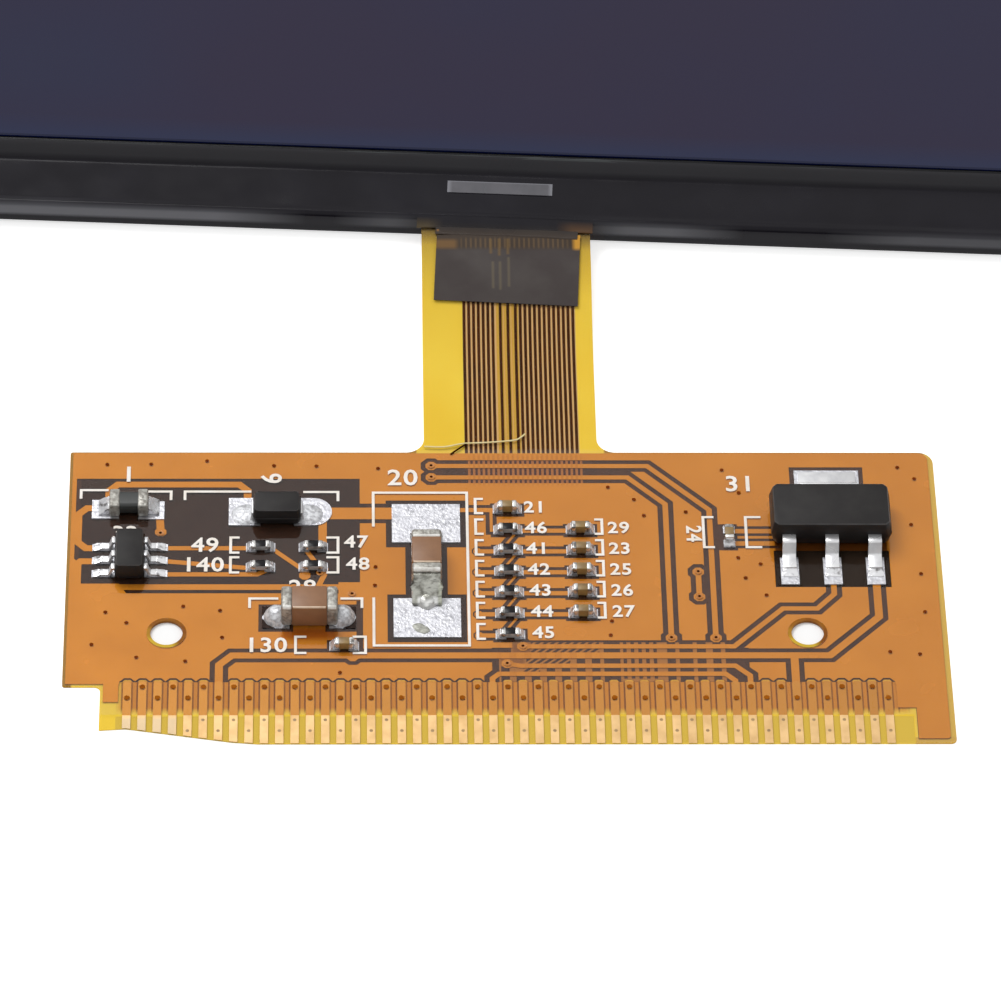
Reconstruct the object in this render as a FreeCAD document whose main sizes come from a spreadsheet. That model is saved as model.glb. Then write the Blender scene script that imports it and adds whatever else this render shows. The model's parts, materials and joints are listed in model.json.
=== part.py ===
import FreeCAD, Part
import math
import os
import Sketcher

# Car display module: a two-glass liquid crystal panel, and a film circuit with its parts.
# Millimetres. X runs along the contact row, Y from the contacts to the panel, Z up.
# Origin: centre of the contact row, at the film's cut edge, on the surface that the module lies on.

SIZES = [
    ("board_width", 46.86, "film board across"),
    ("board_depth", 20.96, "film board from the contact edge to the top edge"),
    ("board_corner", 0.8, "radius of the top right corner"),
    ("small_corner", 0.3, "radius of the other outer corners"),
    ("notch_width", 2.0, "step at the lower left, across"),
    ("notch_depth", 3.95, "step at the lower left, height"),
    ("trim_rise", 1.05, "how far the contact edge is trimmed away at the left"),
    ("trim_flat", 1.4, "level start of the trimmed edge"),
    ("trim_run", 8.3, "length of the trimmed edge"),
    ("hole_radius", 0.86, "locating holes"),
    ("hole_rim", 0.19, "rim of bonded film round a locating hole, clear of copper"),
    ("hole_spacing", 33.99, "between the locating holes"),
    ("hole_middle_x", -1.015, "middle of the hole pair"),
    ("hole_row_y", 7.69, "locating holes above the contact edge"),
    ("tail_width", 9.42, "film tail across"),
    ("tail_middle_x", 0.46, "middle of the tail"),
    ("tail_fillet", 1.0, "where the tail meets the board"),
    ("tail_climb_start_y", 27.0, "the tail leaves the table"),
    ("tail_climb_run", 9.4, "length of the climb to the ledge"),
    ("tail_overlap", 1.3, "tail end beyond the ledge's front edge"),
    ("bond_thick", 0.03, "bonding strip under the tail end"),
    ("tail_left_lines", 7, "close dark lines at the tail's left"),
    ("tail_supply_lines", 3, "dark lines set further apart"),
    ("tail_right_lines", 12, "close dark lines at the tail's right"),
    ("tail_line_pitch", 0.265, "between the close lines"),
    ("tail_supply_gap", 0.42, "between the lines set further apart"),
    ("tail_line_width", 0.16, "one dark line"),
    ("tail_line_start_x", -1.94, "first dark line"),
    ("tail_line_end_y", 20.5, "the dark lines end under the copper pour"),
    ("patch_width", 8.0, "patch on the tail, across"),
    ("patch_front", 5.85, "patch edge ahead of the panel's front edge"),
    ("patch_length", 5.4, "patch along the tail, its end lies under the coat"),
    ("patch_middle_x", 0.37, "patch middle from the panel's middle"),
    ("patch_thick", 0.03, "patch"),
    ("coverlay_thick", 0.05, "each cover film"),
    ("copper_thick", 0.02, "each copper layer"),
    ("base_thick", 0.025, "carrying film"),
    ("pad_proud", 0.01, "tinned pads above the cover film"),
    ("contact_count", 51, "contact fingers"),
    ("contact_pitch", 0.8, "between the fingers"),
    ("contact_width", 0.44, "one finger"),
    ("contact_top_y", 4.10, "centre of a finger's round head"),
    ("cover_start_y", 1.925, "the front cover film ends, fingers are bare below"),
    ("scallop_radius", 0.46, "round edge of the pour over a finger head"),
    ("pour_margin", 0.3, "film margin outside the copper, at the right and at the contact edge"),
    ("pour_margin_left", 0.16, "the same at the left"),
    ("pour_margin_top", 0.12, "the same at the tail's side"),
    ("ear_gap_left", 21.45, "inner edge of the pour's ear at the lower right"),
    ("ear_top_y", 2.45, "top of the bare film beside the ear"),
    ("left_ear_y", 2.85, "lower end of the pour's ear at the left"),
    ("trace_width", 0.3, "signal line"),
    ("supply_width", 0.42, "supply line"),
    ("trace_gap", 0.28, "channel beside a signal line"),
    ("row_gap", 0.22, "channel beside a line between two chips"),
    ("via_radius", 0.33, "round land at a line's end"),
    ("rear_edge", 0.07, "rear copper that shows under the pour's scalloped edge"),
    ("scallop_sides", 8, "straight runs in one scallop's circle"),
    ("pad_gap", 0.32, "channel round a large pad"),
    ("link_via_x", -3.87, "left ends of the two long links"),
    ("link_upper_y", 19.89, "upper long link"),
    ("link_lower_y", 19.04, "lower long link"),
    ("link_inner_x", 8.74, "lower link's way down"),
    ("link_outer_x", 11.1, "upper link's way down"),
    ("link_end_y", 7.36, "lower ends of the long links"),
    ("lane_first_y", 6.76, "line that runs to the regulator's middle lead"),
    ("lane_supply_y", 6.12, "supply line along the board"),
    ("lane_third_y", 5.39, "line to the finger past the last bundle"),
    ("lane_fourth_y", 4.82, "lowest line of the bundle"),
    ("bundle_start_x", -0.6, "left end of the line bundle"),
    ("window_right_x", -7.75, "right edge of the converter's window in the pour"),
    ("window_top_y", 18.93, "top edge of the converter's window"),
    ("window_sill_y", 11.15, "bottom edge of the window at the left"),
    ("window_bottom_y", 10.55, "bottom edge of the window under its lowest line"),
    ("row_first_y", 16.62, "first small capacitor of the left chip column"),
    ("row_pitch", 1.515, "between the chip rows"),
    ("left_column_x", 0.2, "left chip column"),
    ("right_column_x", 4.1, "right chip column"),
    ("converter_column_x", -13.07, "left resistor pair at the converter"),
    ("feedback_column_x", -10.25, "right resistor pair at the converter"),
    ("pair_upper_y", 13.82, "upper resistors at the converter"),
    ("pair_lower_y", 12.38, "lower resistors at the converter"),
    ("chip_length", 1.0, "small chip"),
    ("chip_width", 0.5, "small chip"),
    ("resistor_height", 0.35, "small resistor"),
    ("capacitor_height", 0.5, "small capacitor"),
    ("chip_cap", 0.26, "end cap of a small chip"),
    ("chip_pad_reach", 0.78, "outer end of a small chip's pad from its middle"),
    ("chip_pad_width", 0.62, "pad of a small chip"),
    ("bulk_length", 3.0, "large capacitor"),
    ("bulk_width", 1.6, "large capacitor"),
    ("bulk_height", 1.5, "large capacitor"),
    ("bulk_cap", 0.6, "end cap of a large capacitor"),
    ("inductor_x", -20.17, "inductor's middle"),
    ("inductor_y", 16.72, "inductor's middle"),
    ("inductor_length", 2.07, "inductor"),
    ("inductor_width", 1.3, "inductor"),
    ("inductor_height", 0.85, "inductor"),
    ("inductor_cap", 0.55, "end cap of the inductor"),
    ("diode_x", -12.2, "diode's middle"),
    ("diode_y", 16.22, "diode's middle"),
    ("diode_length", 2.6, "diode body"),
    ("diode_width", 1.65, "diode body"),
    ("diode_height", 1.1, "diode body"),
    ("diode_tab_width", 0.95, "diode's metal tabs"),
    ("diode_tab_reach", 1.75, "tab end from the diode's middle"),
    ("tab_thick", 0.15, "diode and converter lead metal"),
    ("converter_x", -20.05, "converter's middle"),
    ("converter_y", 12.87, "converter's middle"),
    ("converter_width", 1.6, "converter body"),
    ("converter_depth", 2.9, "converter body"),
    ("converter_height", 1.1, "converter body"),
    ("converter_reach", 1.45, "lead tip from the converter's middle"),
    ("converter_pitch", 0.95, "between the converter's leads"),
    ("converter_lead", 0.4, "width of a converter lead"),
    ("converter_pad_reach", 2.02, "pad end from the converter's middle"),
    ("regulator_x", 17.55, "regulator's middle"),
    ("regulator_y", 15.55, "regulator's middle"),
    ("regulator_width", 6.5, "regulator body"),
    ("regulator_depth", 3.3, "regulator body"),
    ("regulator_height", 1.6, "regulator body"),
    ("regulator_pitch", 2.3, "between the regulator's leads"),
    ("regulator_lead", 0.72, "width of a regulator lead"),
    ("regulator_tab", 3.1, "width of the regulator's tab"),
    ("regulator_reach", 3.4, "lead tip from the regulator's middle"),
    ("regulator_tab_reach", 3.6, "tab end from the regulator's middle"),
    ("regulator_metal", 0.26, "regulator lead metal"),
    ("lead_level", 0.5, "share of a body's height at which its leads come out"),
    ("stand_off", 0.06, "gap under a moulded body"),
    ("draft_angle", 8.0, "slope of a moulded body's sides, degrees"),
    ("body_edge", 0.08, "bevel round the top of a moulded body"),
    ("solder_reach", 0.24, "foot of a small solder fillet"),
    ("solder_rise", 0.75, "share of an end cap's height that solder climbs"),
    ("legend_thick", 0.012, "white print"),
    ("legend_line", 0.15, "width of a printed line"),
    ("panel_width", 84.0, "display panel across"),
    ("panel_depth", 54.0, "display panel from the ledge's edge to the far edge"),
    ("panel_middle_x", 0.3, "middle of the panel's front edge"),
    ("panel_edge_y", 37.5, "front edge of the panel, at its middle"),
    ("panel_turn", -2.8, "the film holds the panel turned by this much, degrees"),
    ("ledge_depth", 4.1, "ledge in front of the front glass"),
    ("glass_thick", 1.1, "each glass"),
    ("glass_bevel", 0.08, "ground edge of the glass"),
    ("cell_gap", 0.02, "between the glasses"),
    ("seal_width", 1.2, "glue ring between the glasses"),
    ("polarizer_thick", 0.2, "each polarizer"),
    ("polarizer_inset", 0.3, "polarizer edge inside the glass edge"),
    ("coating_thick", 0.25, "black coat on the ledge"),
    ("coating_lip", 0.08, "bead at the coat's front above the coat"),
    ("coating_lip_width", 0.6, "bead at the coat's front, with its groove"),
    ("coating_ramp", 1.1, "where the coat rises to the front glass"),
    ("coating_step", 0.1, "coat below the front glass's face"),
    ("tongue_length", 1.2, "coat run over the tail ahead of the edge"),
    ("tongue_thick", 0.08, "coat on the tail"),
    ("driver_width", 5.9, "driver chip"),
    ("driver_depth", 0.92, "driver chip"),
    ("driver_height", 0.3, "driver chip"),
    ("driver_side", -0.23, "driver chip's middle from the panel's middle"),
    ("driver_back", 2.48, "driver chip's middle behind the ledge's edge"),
    ("plug_width", 4.0, "glue plug of the fill port"),
    ("plug_proud", 0.6, "glue plug beyond the far edge"),
    ("plug_height", 0.9, "glue plug"),
    ("plug_side", 20.0, "glue plug's middle from the panel's middle"),
]

doc = FreeCAD.newDocument("DisplayModule")
sheet = doc.addObject("Spreadsheet::Sheet", "sizes")
for row, (alias, value, meaning) in enumerate(SIZES, start=1):
    sheet.set(f"A{row}", meaning)
    sheet.set(f"B{row}", str(value))
    sheet.setAlias(f"B{row}", alias)
doc.recompute()


class Sizes:
    """Reads a named size from the sheet."""

    def __getattr__(self, alias):
        return float(sheet.get(alias))


S = Sizes()
nodes = []

# Levels of the film's layers, from the surface that the film lies on.
BACK_COPPER = S.coverlay_thick
BASE = BACK_COPPER + S.copper_thick
FRONT_COPPER = BASE + S.base_thick
FRONT_COVER = FRONT_COPPER + S.copper_thick
FILM_TOP = FRONT_COVER + S.coverlay_thick
PARTS = FILM_TOP + S.pad_proud
PARTS_TEXT = "2 * sizes.coverlay_thick + 2 * sizes.copper_thick + sizes.base_thick + sizes.pad_proud"

# Levels of the panel's layers.
LEDGE_TOP = S.polarizer_thick + S.glass_thick
FRONT_GLASS = LEDGE_TOP + S.cell_gap
LEDGE_TEXT = "sizes.polarizer_thick + sizes.glass_thick"
FRONT_TEXT = LEDGE_TEXT + " + sizes.cell_gap"

RIGHT = S.board_width / 2
LEFT = -RIGHT
TAIL_LEFT = S.tail_middle_x - S.tail_width / 2
TAIL_RIGHT = TAIL_LEFT + S.tail_width
TAIL_END = S.panel_edge_y + S.tail_overlap
UP = FreeCAD.Vector(0, 0, 1)


def keep(item, label):
    """Gives a sub-part its name and puts it on the list of nodes."""
    item.Label = label
    nodes.append(item)
    return item


def feature(label, shape, placement=FreeCAD.Placement()):
    item = doc.addObject("Part::Feature", label)
    item.Shape = shape
    item.Placement = placement
    return keep(item, label)


def panel_placement():
    middle = FreeCAD.Vector(S.panel_middle_x, S.panel_edge_y, 0)
    return FreeCAD.Placement(middle, FreeCAD.Rotation(UP, S.panel_turn))


# Flat shapes of the film's layers.

def polygon(points):
    corners = [FreeCAD.Vector(x, y, 0) for x, y in points]
    return Part.Face(Part.makePolygon(corners + corners[:1]))


def block(x_low, y_low, x_high, y_high):
    return polygon([(x_low, y_low), (x_high, y_low), (x_high, y_high), (x_low, y_high)])


def disc(x, y, radius):
    return Part.Face(Part.Wire(Part.makeCircle(radius, FreeCAD.Vector(x, y, 0))))


def round_land(x, y, radius, sides=8):
    """Small round area as a polygon with a level top edge, its corners on the circle."""
    turns = [math.radians(90) + 2 * math.pi * (i + 0.5) / sides for i in range(sides)]
    return polygon([(x + radius * math.cos(turn), y + radius * math.sin(turn)) for turn in turns])


def rounded(corners):
    """Face from corners (x, y, radius), each rounded by its own radius."""
    edges = []
    previous_end = None
    first_start = None
    count = len(corners)
    for i, (x, y, radius) in enumerate(corners):
        here = FreeCAD.Vector(x, y, 0)
        back = FreeCAD.Vector(*corners[i - 1][:2], 0) - here
        ahead = FreeCAD.Vector(*corners[(i + 1) % count][:2], 0) - here
        back.normalize()
        ahead.normalize()
        start = end = here
        if radius > 0:
            half = back.getAngle(ahead) / 2
            start = here + back * (radius / math.tan(half))
            end = here + ahead * (radius / math.tan(half))
            inward = (back + ahead).normalize()
            middle = here + inward * (radius / math.sin(half) - radius)
        if previous_end is None:
            first_start = start
        else:
            edges.append(Part.LineSegment(previous_end, start).toShape())
        if radius > 0:
            edges.append(Part.Arc(start, middle, end).toShape())
        previous_end = end
    edges.append(Part.LineSegment(previous_end, first_start).toShape())
    return Part.Face(Part.Wire(edges))


def ribbon(path, width):
    """Face of a line of one width along straight runs."""
    points = [FreeCAD.Vector(x, y, 0) for x, y in path]
    runs = [(after - before).normalize() for before, after in zip(points, points[1:])]
    left = []
    right = []
    for i, here in enumerate(points):
        before = runs[max(i - 1, 0)]
        after = runs[min(i, len(runs) - 1)]
        tangent = (before + after).normalize()
        side = UP.cross(tangent) * (width / 2 / tangent.dot(before))
        left.append(here + side)
        right.append(here - side)
    corners = left + right[::-1]
    return Part.Face(Part.makePolygon(corners + corners[:1]))


def joined(faces):
    """One outline per connected group of faces."""
    shell = Part.makeShell(faces[0].multiFuse(faces[1:]).Faces)
    return Part.makeCompound(shell.removeSplitter().Faces)


def slab(face, level, thickness):
    lifted = face.copy()
    lifted.translate(UP * level)
    return lifted.extrude(UP * thickness)


def chamfered(points, cut):
    """Path whose right-angled turns are cut at 45 degrees, by the given run."""
    path = [points[0]]
    for before, here, after in zip(points, points[1:], points[2:]):
        for other in (before, after):
            way = FreeCAD.Vector(other[0] - here[0], other[1] - here[1], 0).normalize() * cut
            path.append((here[0] + way.x, here[1] + way.y))
    path.append(points[-1])
    return path


# The film's outline and its tail.

def board_outline():
    foot = LEFT + S.notch_width
    trim_end = foot + S.trim_run
    small = S.small_corner
    return rounded([
        (foot, S.trim_rise * 0.9, 0),
        (foot + S.trim_flat, S.trim_rise, S.trim_flat),
        (trim_end - S.trim_flat, S.trim_rise * 0.12, S.trim_flat),
        (trim_end, 0, 0),
        (RIGHT, 0, small),
        (RIGHT, S.board_depth, S.board_corner),
        (TAIL_RIGHT, S.board_depth, S.tail_fillet),
        (TAIL_RIGHT, S.tail_climb_start_y, 0),
        (TAIL_LEFT, S.tail_climb_start_y, 0),
        (TAIL_LEFT, S.board_depth, S.tail_fillet),
        (LEFT, S.board_depth, small / 2),
        (LEFT, S.notch_depth, small / 2),
        (foot, S.notch_depth, small),
    ])


def hole_places():
    half = S.hole_spacing / 2
    return [(S.hole_middle_x - half, S.hole_row_y), (S.hole_middle_x + half, S.hole_row_y)]


def tail_curve(height):
    """Edges of the tail's climb at one height above its underside."""
    rise = LEDGE_TOP + S.bond_thick
    start = S.tail_climb_start_y
    run = S.tail_climb_run
    radius = (run * run + rise * rise) / (4 * rise)
    angle = 2 * math.atan(rise / run)

    def lower(turn):
        return FreeCAD.Vector(0, start + (radius - height) * math.sin(turn),
                              radius - (radius - height) * math.cos(turn))

    def upper(turn):
        return FreeCAD.Vector(0, start + run - (radius + height) * math.sin(turn),
                              rise - radius + (radius + height) * math.cos(turn))

    return [
        Part.Arc(lower(0), lower(angle / 2), lower(angle)).toShape(),
        Part.Arc(upper(angle), upper(angle / 2), upper(0)).toShape(),
        Part.LineSegment(upper(0), FreeCAD.Vector(0, TAIL_END, rise + height)).toShape(),
    ]


def tail_strip(x_low, x_high, low, high):
    """Solid stretch of the climbing tail between two heights above its underside."""
    under = tail_curve(low)
    over = tail_curve(high)
    start = Part.LineSegment(over[0].Vertexes[0].Point, under[0].Vertexes[0].Point).toShape()
    end = Part.LineSegment(under[-1].Vertexes[-1].Point, over[-1].Vertexes[-1].Point).toShape()
    wire = Part.Wire([start] + under + [end] + over[::-1])
    strip = Part.Face(wire).extrude(FreeCAD.Vector(x_high - x_low, 0, 0))
    strip.translate(FreeCAD.Vector(x_low, 0, 0))
    return strip


def film_layer(label, face, low, high):
    flat = slab(face, low, high - low)
    tail = tail_strip(TAIL_LEFT, TAIL_RIGHT, low, high)
    return feature(label, flat.fuse(tail).removeSplitter())


# Where the parts are soldered. A chip lies along X, or along Y where upright is set.

def row_y(row):
    return S.row_first_y - row * S.row_pitch


RESISTORS = [(S.left_column_x, row_y(row), False) for row in range(1, 7)]
RESISTORS += [(x, y, False) for x in (S.converter_column_x, S.feedback_column_x)
              for y in (S.pair_upper_y, S.pair_lower_y)]
SMALL_CAPACITORS = [(S.left_column_x, row_y(0), False)]
SMALL_CAPACITORS += [(S.right_column_x, row_y(row), False) for row in range(1, 6)]
INPUT_CAPACITOR = (12.1, 14.62, True)
TRIM_CAPACITOR = (-8.6, 6.72, False)
SMALL_CAPACITORS += [INPUT_CAPACITOR, TRIM_CAPACITOR]
TANK_CAPACITOR = (-4.2, 12.35, True)
BOOST_CAPACITOR = (-10.44, 8.93, False)
BULK_CAPACITORS = [TANK_CAPACITOR, BOOST_CAPACITOR]
TANK_PADS = [(-6.03, 14.2, -2.36, 17.0), (-5.98, 7.37, -2.4, 10.15)]
BOOST_PADS = [(-12.95, 8.0, -11.5, 9.55), (-9.4, 8.0, -7.98, 9.55)]
INDUCTOR_PADS = [(-22.16, 15.95, -20.7, 17.3), (-19.65, 15.9, -18.27, 17.2)]
DIODE_PADS = [(-14.8, 15.45, -13.1, 17.45), (-11.3, 15.45, -10.2, 17.45)]


def turned(x, y, upright, length, width):
    """Corners of a rectangle about a chip's middle."""
    half_x, half_y = (width / 2, length / 2) if upright else (length / 2, width / 2)
    return (x - half_x, y - half_y, x + half_x, y + half_y)


def chip_pads(x, y, upright, reach, width):
    """The two pads of a chip, from a fifth of their reach outwards."""
    length = reach * 0.72
    middle = reach - length / 2
    if upright:
        places = [(x, y - middle), (x, y + middle)]
    else:
        places = [(x - middle, y), (x + middle, y)]
    return [turned(px, py, upright, length, width) for px, py in places]


def converter_rows():
    return [S.converter_y + step * S.converter_pitch for step in (-1, 0, 1)]


def regulator_columns():
    return [S.regulator_x + step * S.regulator_pitch for step in (-1, 0, 1)]


def small_chips():
    return RESISTORS + SMALL_CAPACITORS


def pad_boxes():
    boxes = []
    for x, y, upright in small_chips():
        boxes += chip_pads(x, y, upright, S.chip_pad_reach, S.chip_pad_width)
    boxes += TANK_PADS + BOOST_PADS + INDUCTOR_PADS + DIODE_PADS
    tongue = S.bulk_width / 2
    x = TANK_CAPACITOR[0]
    reach = S.bulk_length / 2 - S.bulk_cap
    boxes.append((x - tongue, TANK_CAPACITOR[1] + reach, x + tongue, TANK_PADS[0][1]))
    boxes.append((x - tongue, TANK_PADS[1][3], x + tongue, TANK_CAPACITOR[1] - reach))
    for y in converter_rows():
        for side in (-1, 1):
            inner = S.converter_x + side * S.converter_width / 2
            outer = S.converter_x + side * S.converter_pad_reach
            low, high = sorted((inner, outer))
            boxes.append((low, y - 0.24, high, y + 0.24))
    tip = S.regulator_y - S.regulator_reach
    for x in regulator_columns():
        boxes.append((x - 0.49, tip - 1.0, x + 0.49, tip + 0.95))
    half = S.regulator_tab / 2 + 0.2
    tab_end = S.regulator_y + S.regulator_tab_reach
    boxes.append((S.regulator_x - half, tab_end - 1.9, S.regulator_x + half, tab_end + 0.35))
    return boxes


def pad_faces():
    faces = [block(*box) for box in pad_boxes()]
    x_low, y_low, x_high, y_high = DIODE_PADS[1]
    faces.append(disc(x_high - 0.05, (y_low + y_high) / 2, (y_high - y_low) / 2))
    return faces


# Lines on the front: each is a path, a width and the channel beside it.

def finger_x(index):
    return (index - (S.contact_count - 1) / 2) * S.contact_pitch


FINGER_TO_SUPPLY = 6
FINGER_TO_POUR = 14
FINGER_TO_FOURTH = 24
FOURTH_TO_FINGER = 40
THIRD_TO_FINGER = 41
SUPPLY_BRANCH = 44


def signal_lines():
    top = S.contact_top_y
    thin = S.trace_width
    wide = S.supply_width
    gap = S.trace_gap
    pad_y = S.regulator_y - S.regulator_reach - 0.9
    middle_lead, right_lead = regulator_columns()[1:]
    right_way = right_lead + 0.0
    upper = [(S.link_via_x, S.link_upper_y), (S.link_outer_x, S.link_upper_y),
             (S.link_outer_x, S.link_end_y)]
    lower = [(S.link_via_x, S.link_lower_y), (S.link_inner_x, S.link_lower_y),
             (S.link_inner_x, S.link_end_y)]
    first = [(0.85, S.lane_first_y), (12.05, S.lane_first_y), (14.75, 9.46), (16.6, 9.46),
             (middle_lead, 10.5), (middle_lead, pad_y)]
    supply = [(finger_x(FINGER_TO_SUPPLY), top), (finger_x(FINGER_TO_SUPPLY), 5.45),
              (finger_x(FINGER_TO_SUPPLY) + 0.67, S.lane_supply_y), (17.1, S.lane_supply_y),
              (right_way, 8.87), (right_way, pad_y)]
    branch = [(finger_x(SUPPLY_BRANCH), S.lane_supply_y), (finger_x(SUPPLY_BRANCH), top)]
    third = [(0.0, S.lane_third_y + 0.15), (0.7, S.lane_third_y), (12.05, S.lane_third_y),
             (finger_x(THIRD_TO_FINGER), 4.7), (finger_x(THIRD_TO_FINGER), top)]
    fourth = [(finger_x(FINGER_TO_FOURTH), top), (finger_x(FINGER_TO_FOURTH), 4.5),
              (finger_x(FINGER_TO_FOURTH) + 0.35, S.lane_fourth_y), (11.5, S.lane_fourth_y),
              (finger_x(FOURTH_TO_FINGER), 4.35), (finger_x(FOURTH_TO_FINGER), top)]
    jumper = [(10.34, 12.1), (10.34, 10.3)]
    return [
        (chamfered(upper, 3.25), thin, gap),
        (chamfered(lower, 1.98), thin, gap),
        (first, thin, gap),
        (supply, wide, gap),
        (branch, wide, gap),
        (third, thin, gap),
        (fourth, thin, gap),
        (jumper, thin, gap),
    ]


def row_lines():
    """Lines from the left chip column to its lands and to the right chip column."""
    lines = []
    reach = S.chip_pad_reach
    for row in range(0, 7):
        y = row_y(row)
        x_start = TANK_PADS[0][2] if row == 0 else -1.45
        if row != 1:
            lines.append(([(x_start, y), (S.left_column_x - reach, y)], S.trace_width, S.row_gap))
        if 1 <= row <= 5:
            left_end = S.left_column_x + reach
            lines.append(([(left_end, y), (S.right_column_x - reach, y)], S.trace_width, S.row_gap))
    for row in range(1, 6):
        start = (S.left_column_x + 0.35, row_y(row) - 0.3)
        end = (S.left_column_x - 0.25, row_y(row + 1) + 0.3)
        lines.append(([start, end], 0.14, S.row_gap))
    corner_x = S.left_column_x - reach - 0.1
    link = [(corner_x, row_y(0)), (corner_x, row_y(1)), (S.left_column_x - reach + 0.1, row_y(1))]
    lines.append((link, 0.16, S.row_gap))
    return lines


def input_lines():
    """Lines from the upright capacitor to the regulator."""
    x, y, upright = INPUT_CAPACITOR
    edge = S.regulator_x - S.regulator_width / 2 + 0.5
    return [([(x, y + side * 0.45), (edge, y + side * 0.45)], 0.32, 0.2) for side in (-1, 1)]


def converter_lines():
    """Lines inside the converter's window."""
    wide = S.supply_width
    low_row, middle_row, high_row = converter_rows()
    tip = S.converter_pad_reach - 0.1
    left_tip = S.converter_x - tip
    right_tip = S.converter_x + tip
    left_pad = INDUCTOR_PADS[0]
    right_pad = INDUCTOR_PADS[1]
    reach = S.chip_pad_reach - 0.1
    pair_left = S.converter_column_x - reach
    pair_right = S.converter_column_x + reach
    feedback_left = S.feedback_column_x - reach
    feedback_right = S.feedback_column_x + reach
    way_x = LEFT + 0.55
    boost_y = S.window_bottom_y + 0.45
    switch = chamfered([(left_pad[0] + 0.9, left_pad[3] - 0.2), (left_pad[0] + 0.9, 18.5),
                        (DIODE_PADS[0][0] + 1.0, 18.5), (DIODE_PADS[0][0] + 1.0, 17.3)], 0.45)
    sense = chamfered([(left_pad[0] + 0.1, 16.75), (way_x, 16.75), (way_x, high_row),
                       (left_tip, high_row)], 0.45)
    ground = chamfered([(left_tip, middle_row), (way_x - 0.1, middle_row),
                        (way_x - 0.1, S.window_sill_y - 0.2)], 0.3)
    return [
        (switch, wide, 0),
        (sense, wide, 0),
        (ground, wide, 0),
        ([(right_pad[0] + 1.15, right_pad[1] + 0.1), (-18.44, 15.05)], wide, 0),
        ([(right_tip, high_row), (pair_left, S.pair_upper_y)], 0.3, 0),
        ([(right_tip, middle_row), (pair_left, S.pair_lower_y)], 0.3, 0),
        ([(right_tip, low_row), (-13.25, low_row), (pair_right - 0.1, S.pair_lower_y)], 0.3, 0),
        ([(pair_right, S.pair_upper_y - 0.1), (feedback_left, S.pair_lower_y)], 0.26, 0),
        ([(feedback_left + 0.1, S.pair_lower_y), (-10.7, 11.75)], 0.26, 0),
        ([(feedback_left + 0.2, S.pair_upper_y), (feedback_right - 0.3, S.pair_lower_y)], 0.26, 0),
        ([(feedback_right, S.pair_lower_y), (-9.65, 11.9), (-10.0, boost_y)], 0.3, 0),
        ([(-10.2, S.diode_y + 0.15), (TANK_PADS[0][0], S.diode_y + 0.15)], 0.85, 0.3),
        ([(-9.75, S.diode_y), (-9.75, S.pair_upper_y)], 0.45, 0),
        ([(-20.6, boost_y), (-8.5, boost_y)], 0.4, 0),
    ]


LANDS = [
    (S.link_via_x, S.link_upper_y), (S.link_via_x, S.link_lower_y),
    (S.link_outer_x, S.link_end_y), (S.link_inner_x, S.link_end_y),
    (0.85, S.lane_first_y), (0.0, S.lane_third_y + 0.15), (10.34, 12.1), (10.34, 10.3),
    (-8.15, S.lane_supply_y - 0.1),
]
WINDOW_LANDS = [(-18.44, 15.0), (-10.7, 11.85)]


def row_lands():
    return [(-1.45, row_y(row)) for row in range(2, 7)]


def finger(index):
    """Contact finger with a round head; it runs past the film's edge, which cuts it off."""
    half = S.contact_width / 2
    x = finger_x(index)
    turns = [math.radians(step * 45) for step in range(5)]
    head = [(x + half * math.cos(turn), S.contact_top_y + half * math.sin(turn)) for turn in turns]
    return polygon(head + [(x - half, -0.5), (x + half, -0.5)])


def converter_window():
    low = S.window_bottom_y
    sill = S.window_sill_y
    way = LEFT + S.pour_margin
    return polygon([
        (way + 0.1, S.window_top_y), (way + 0.1, sill + 1.9), (way + 0.5, sill + 1.5),
        (way + 0.5, sill + 0.1), (-20.6, sill + 0.1), (-20.2, low), (-8.9, low),
        (-8.9, sill + 0.2), (S.window_right_x, sill + 0.2), (S.window_right_x, S.window_top_y),
    ])


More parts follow.
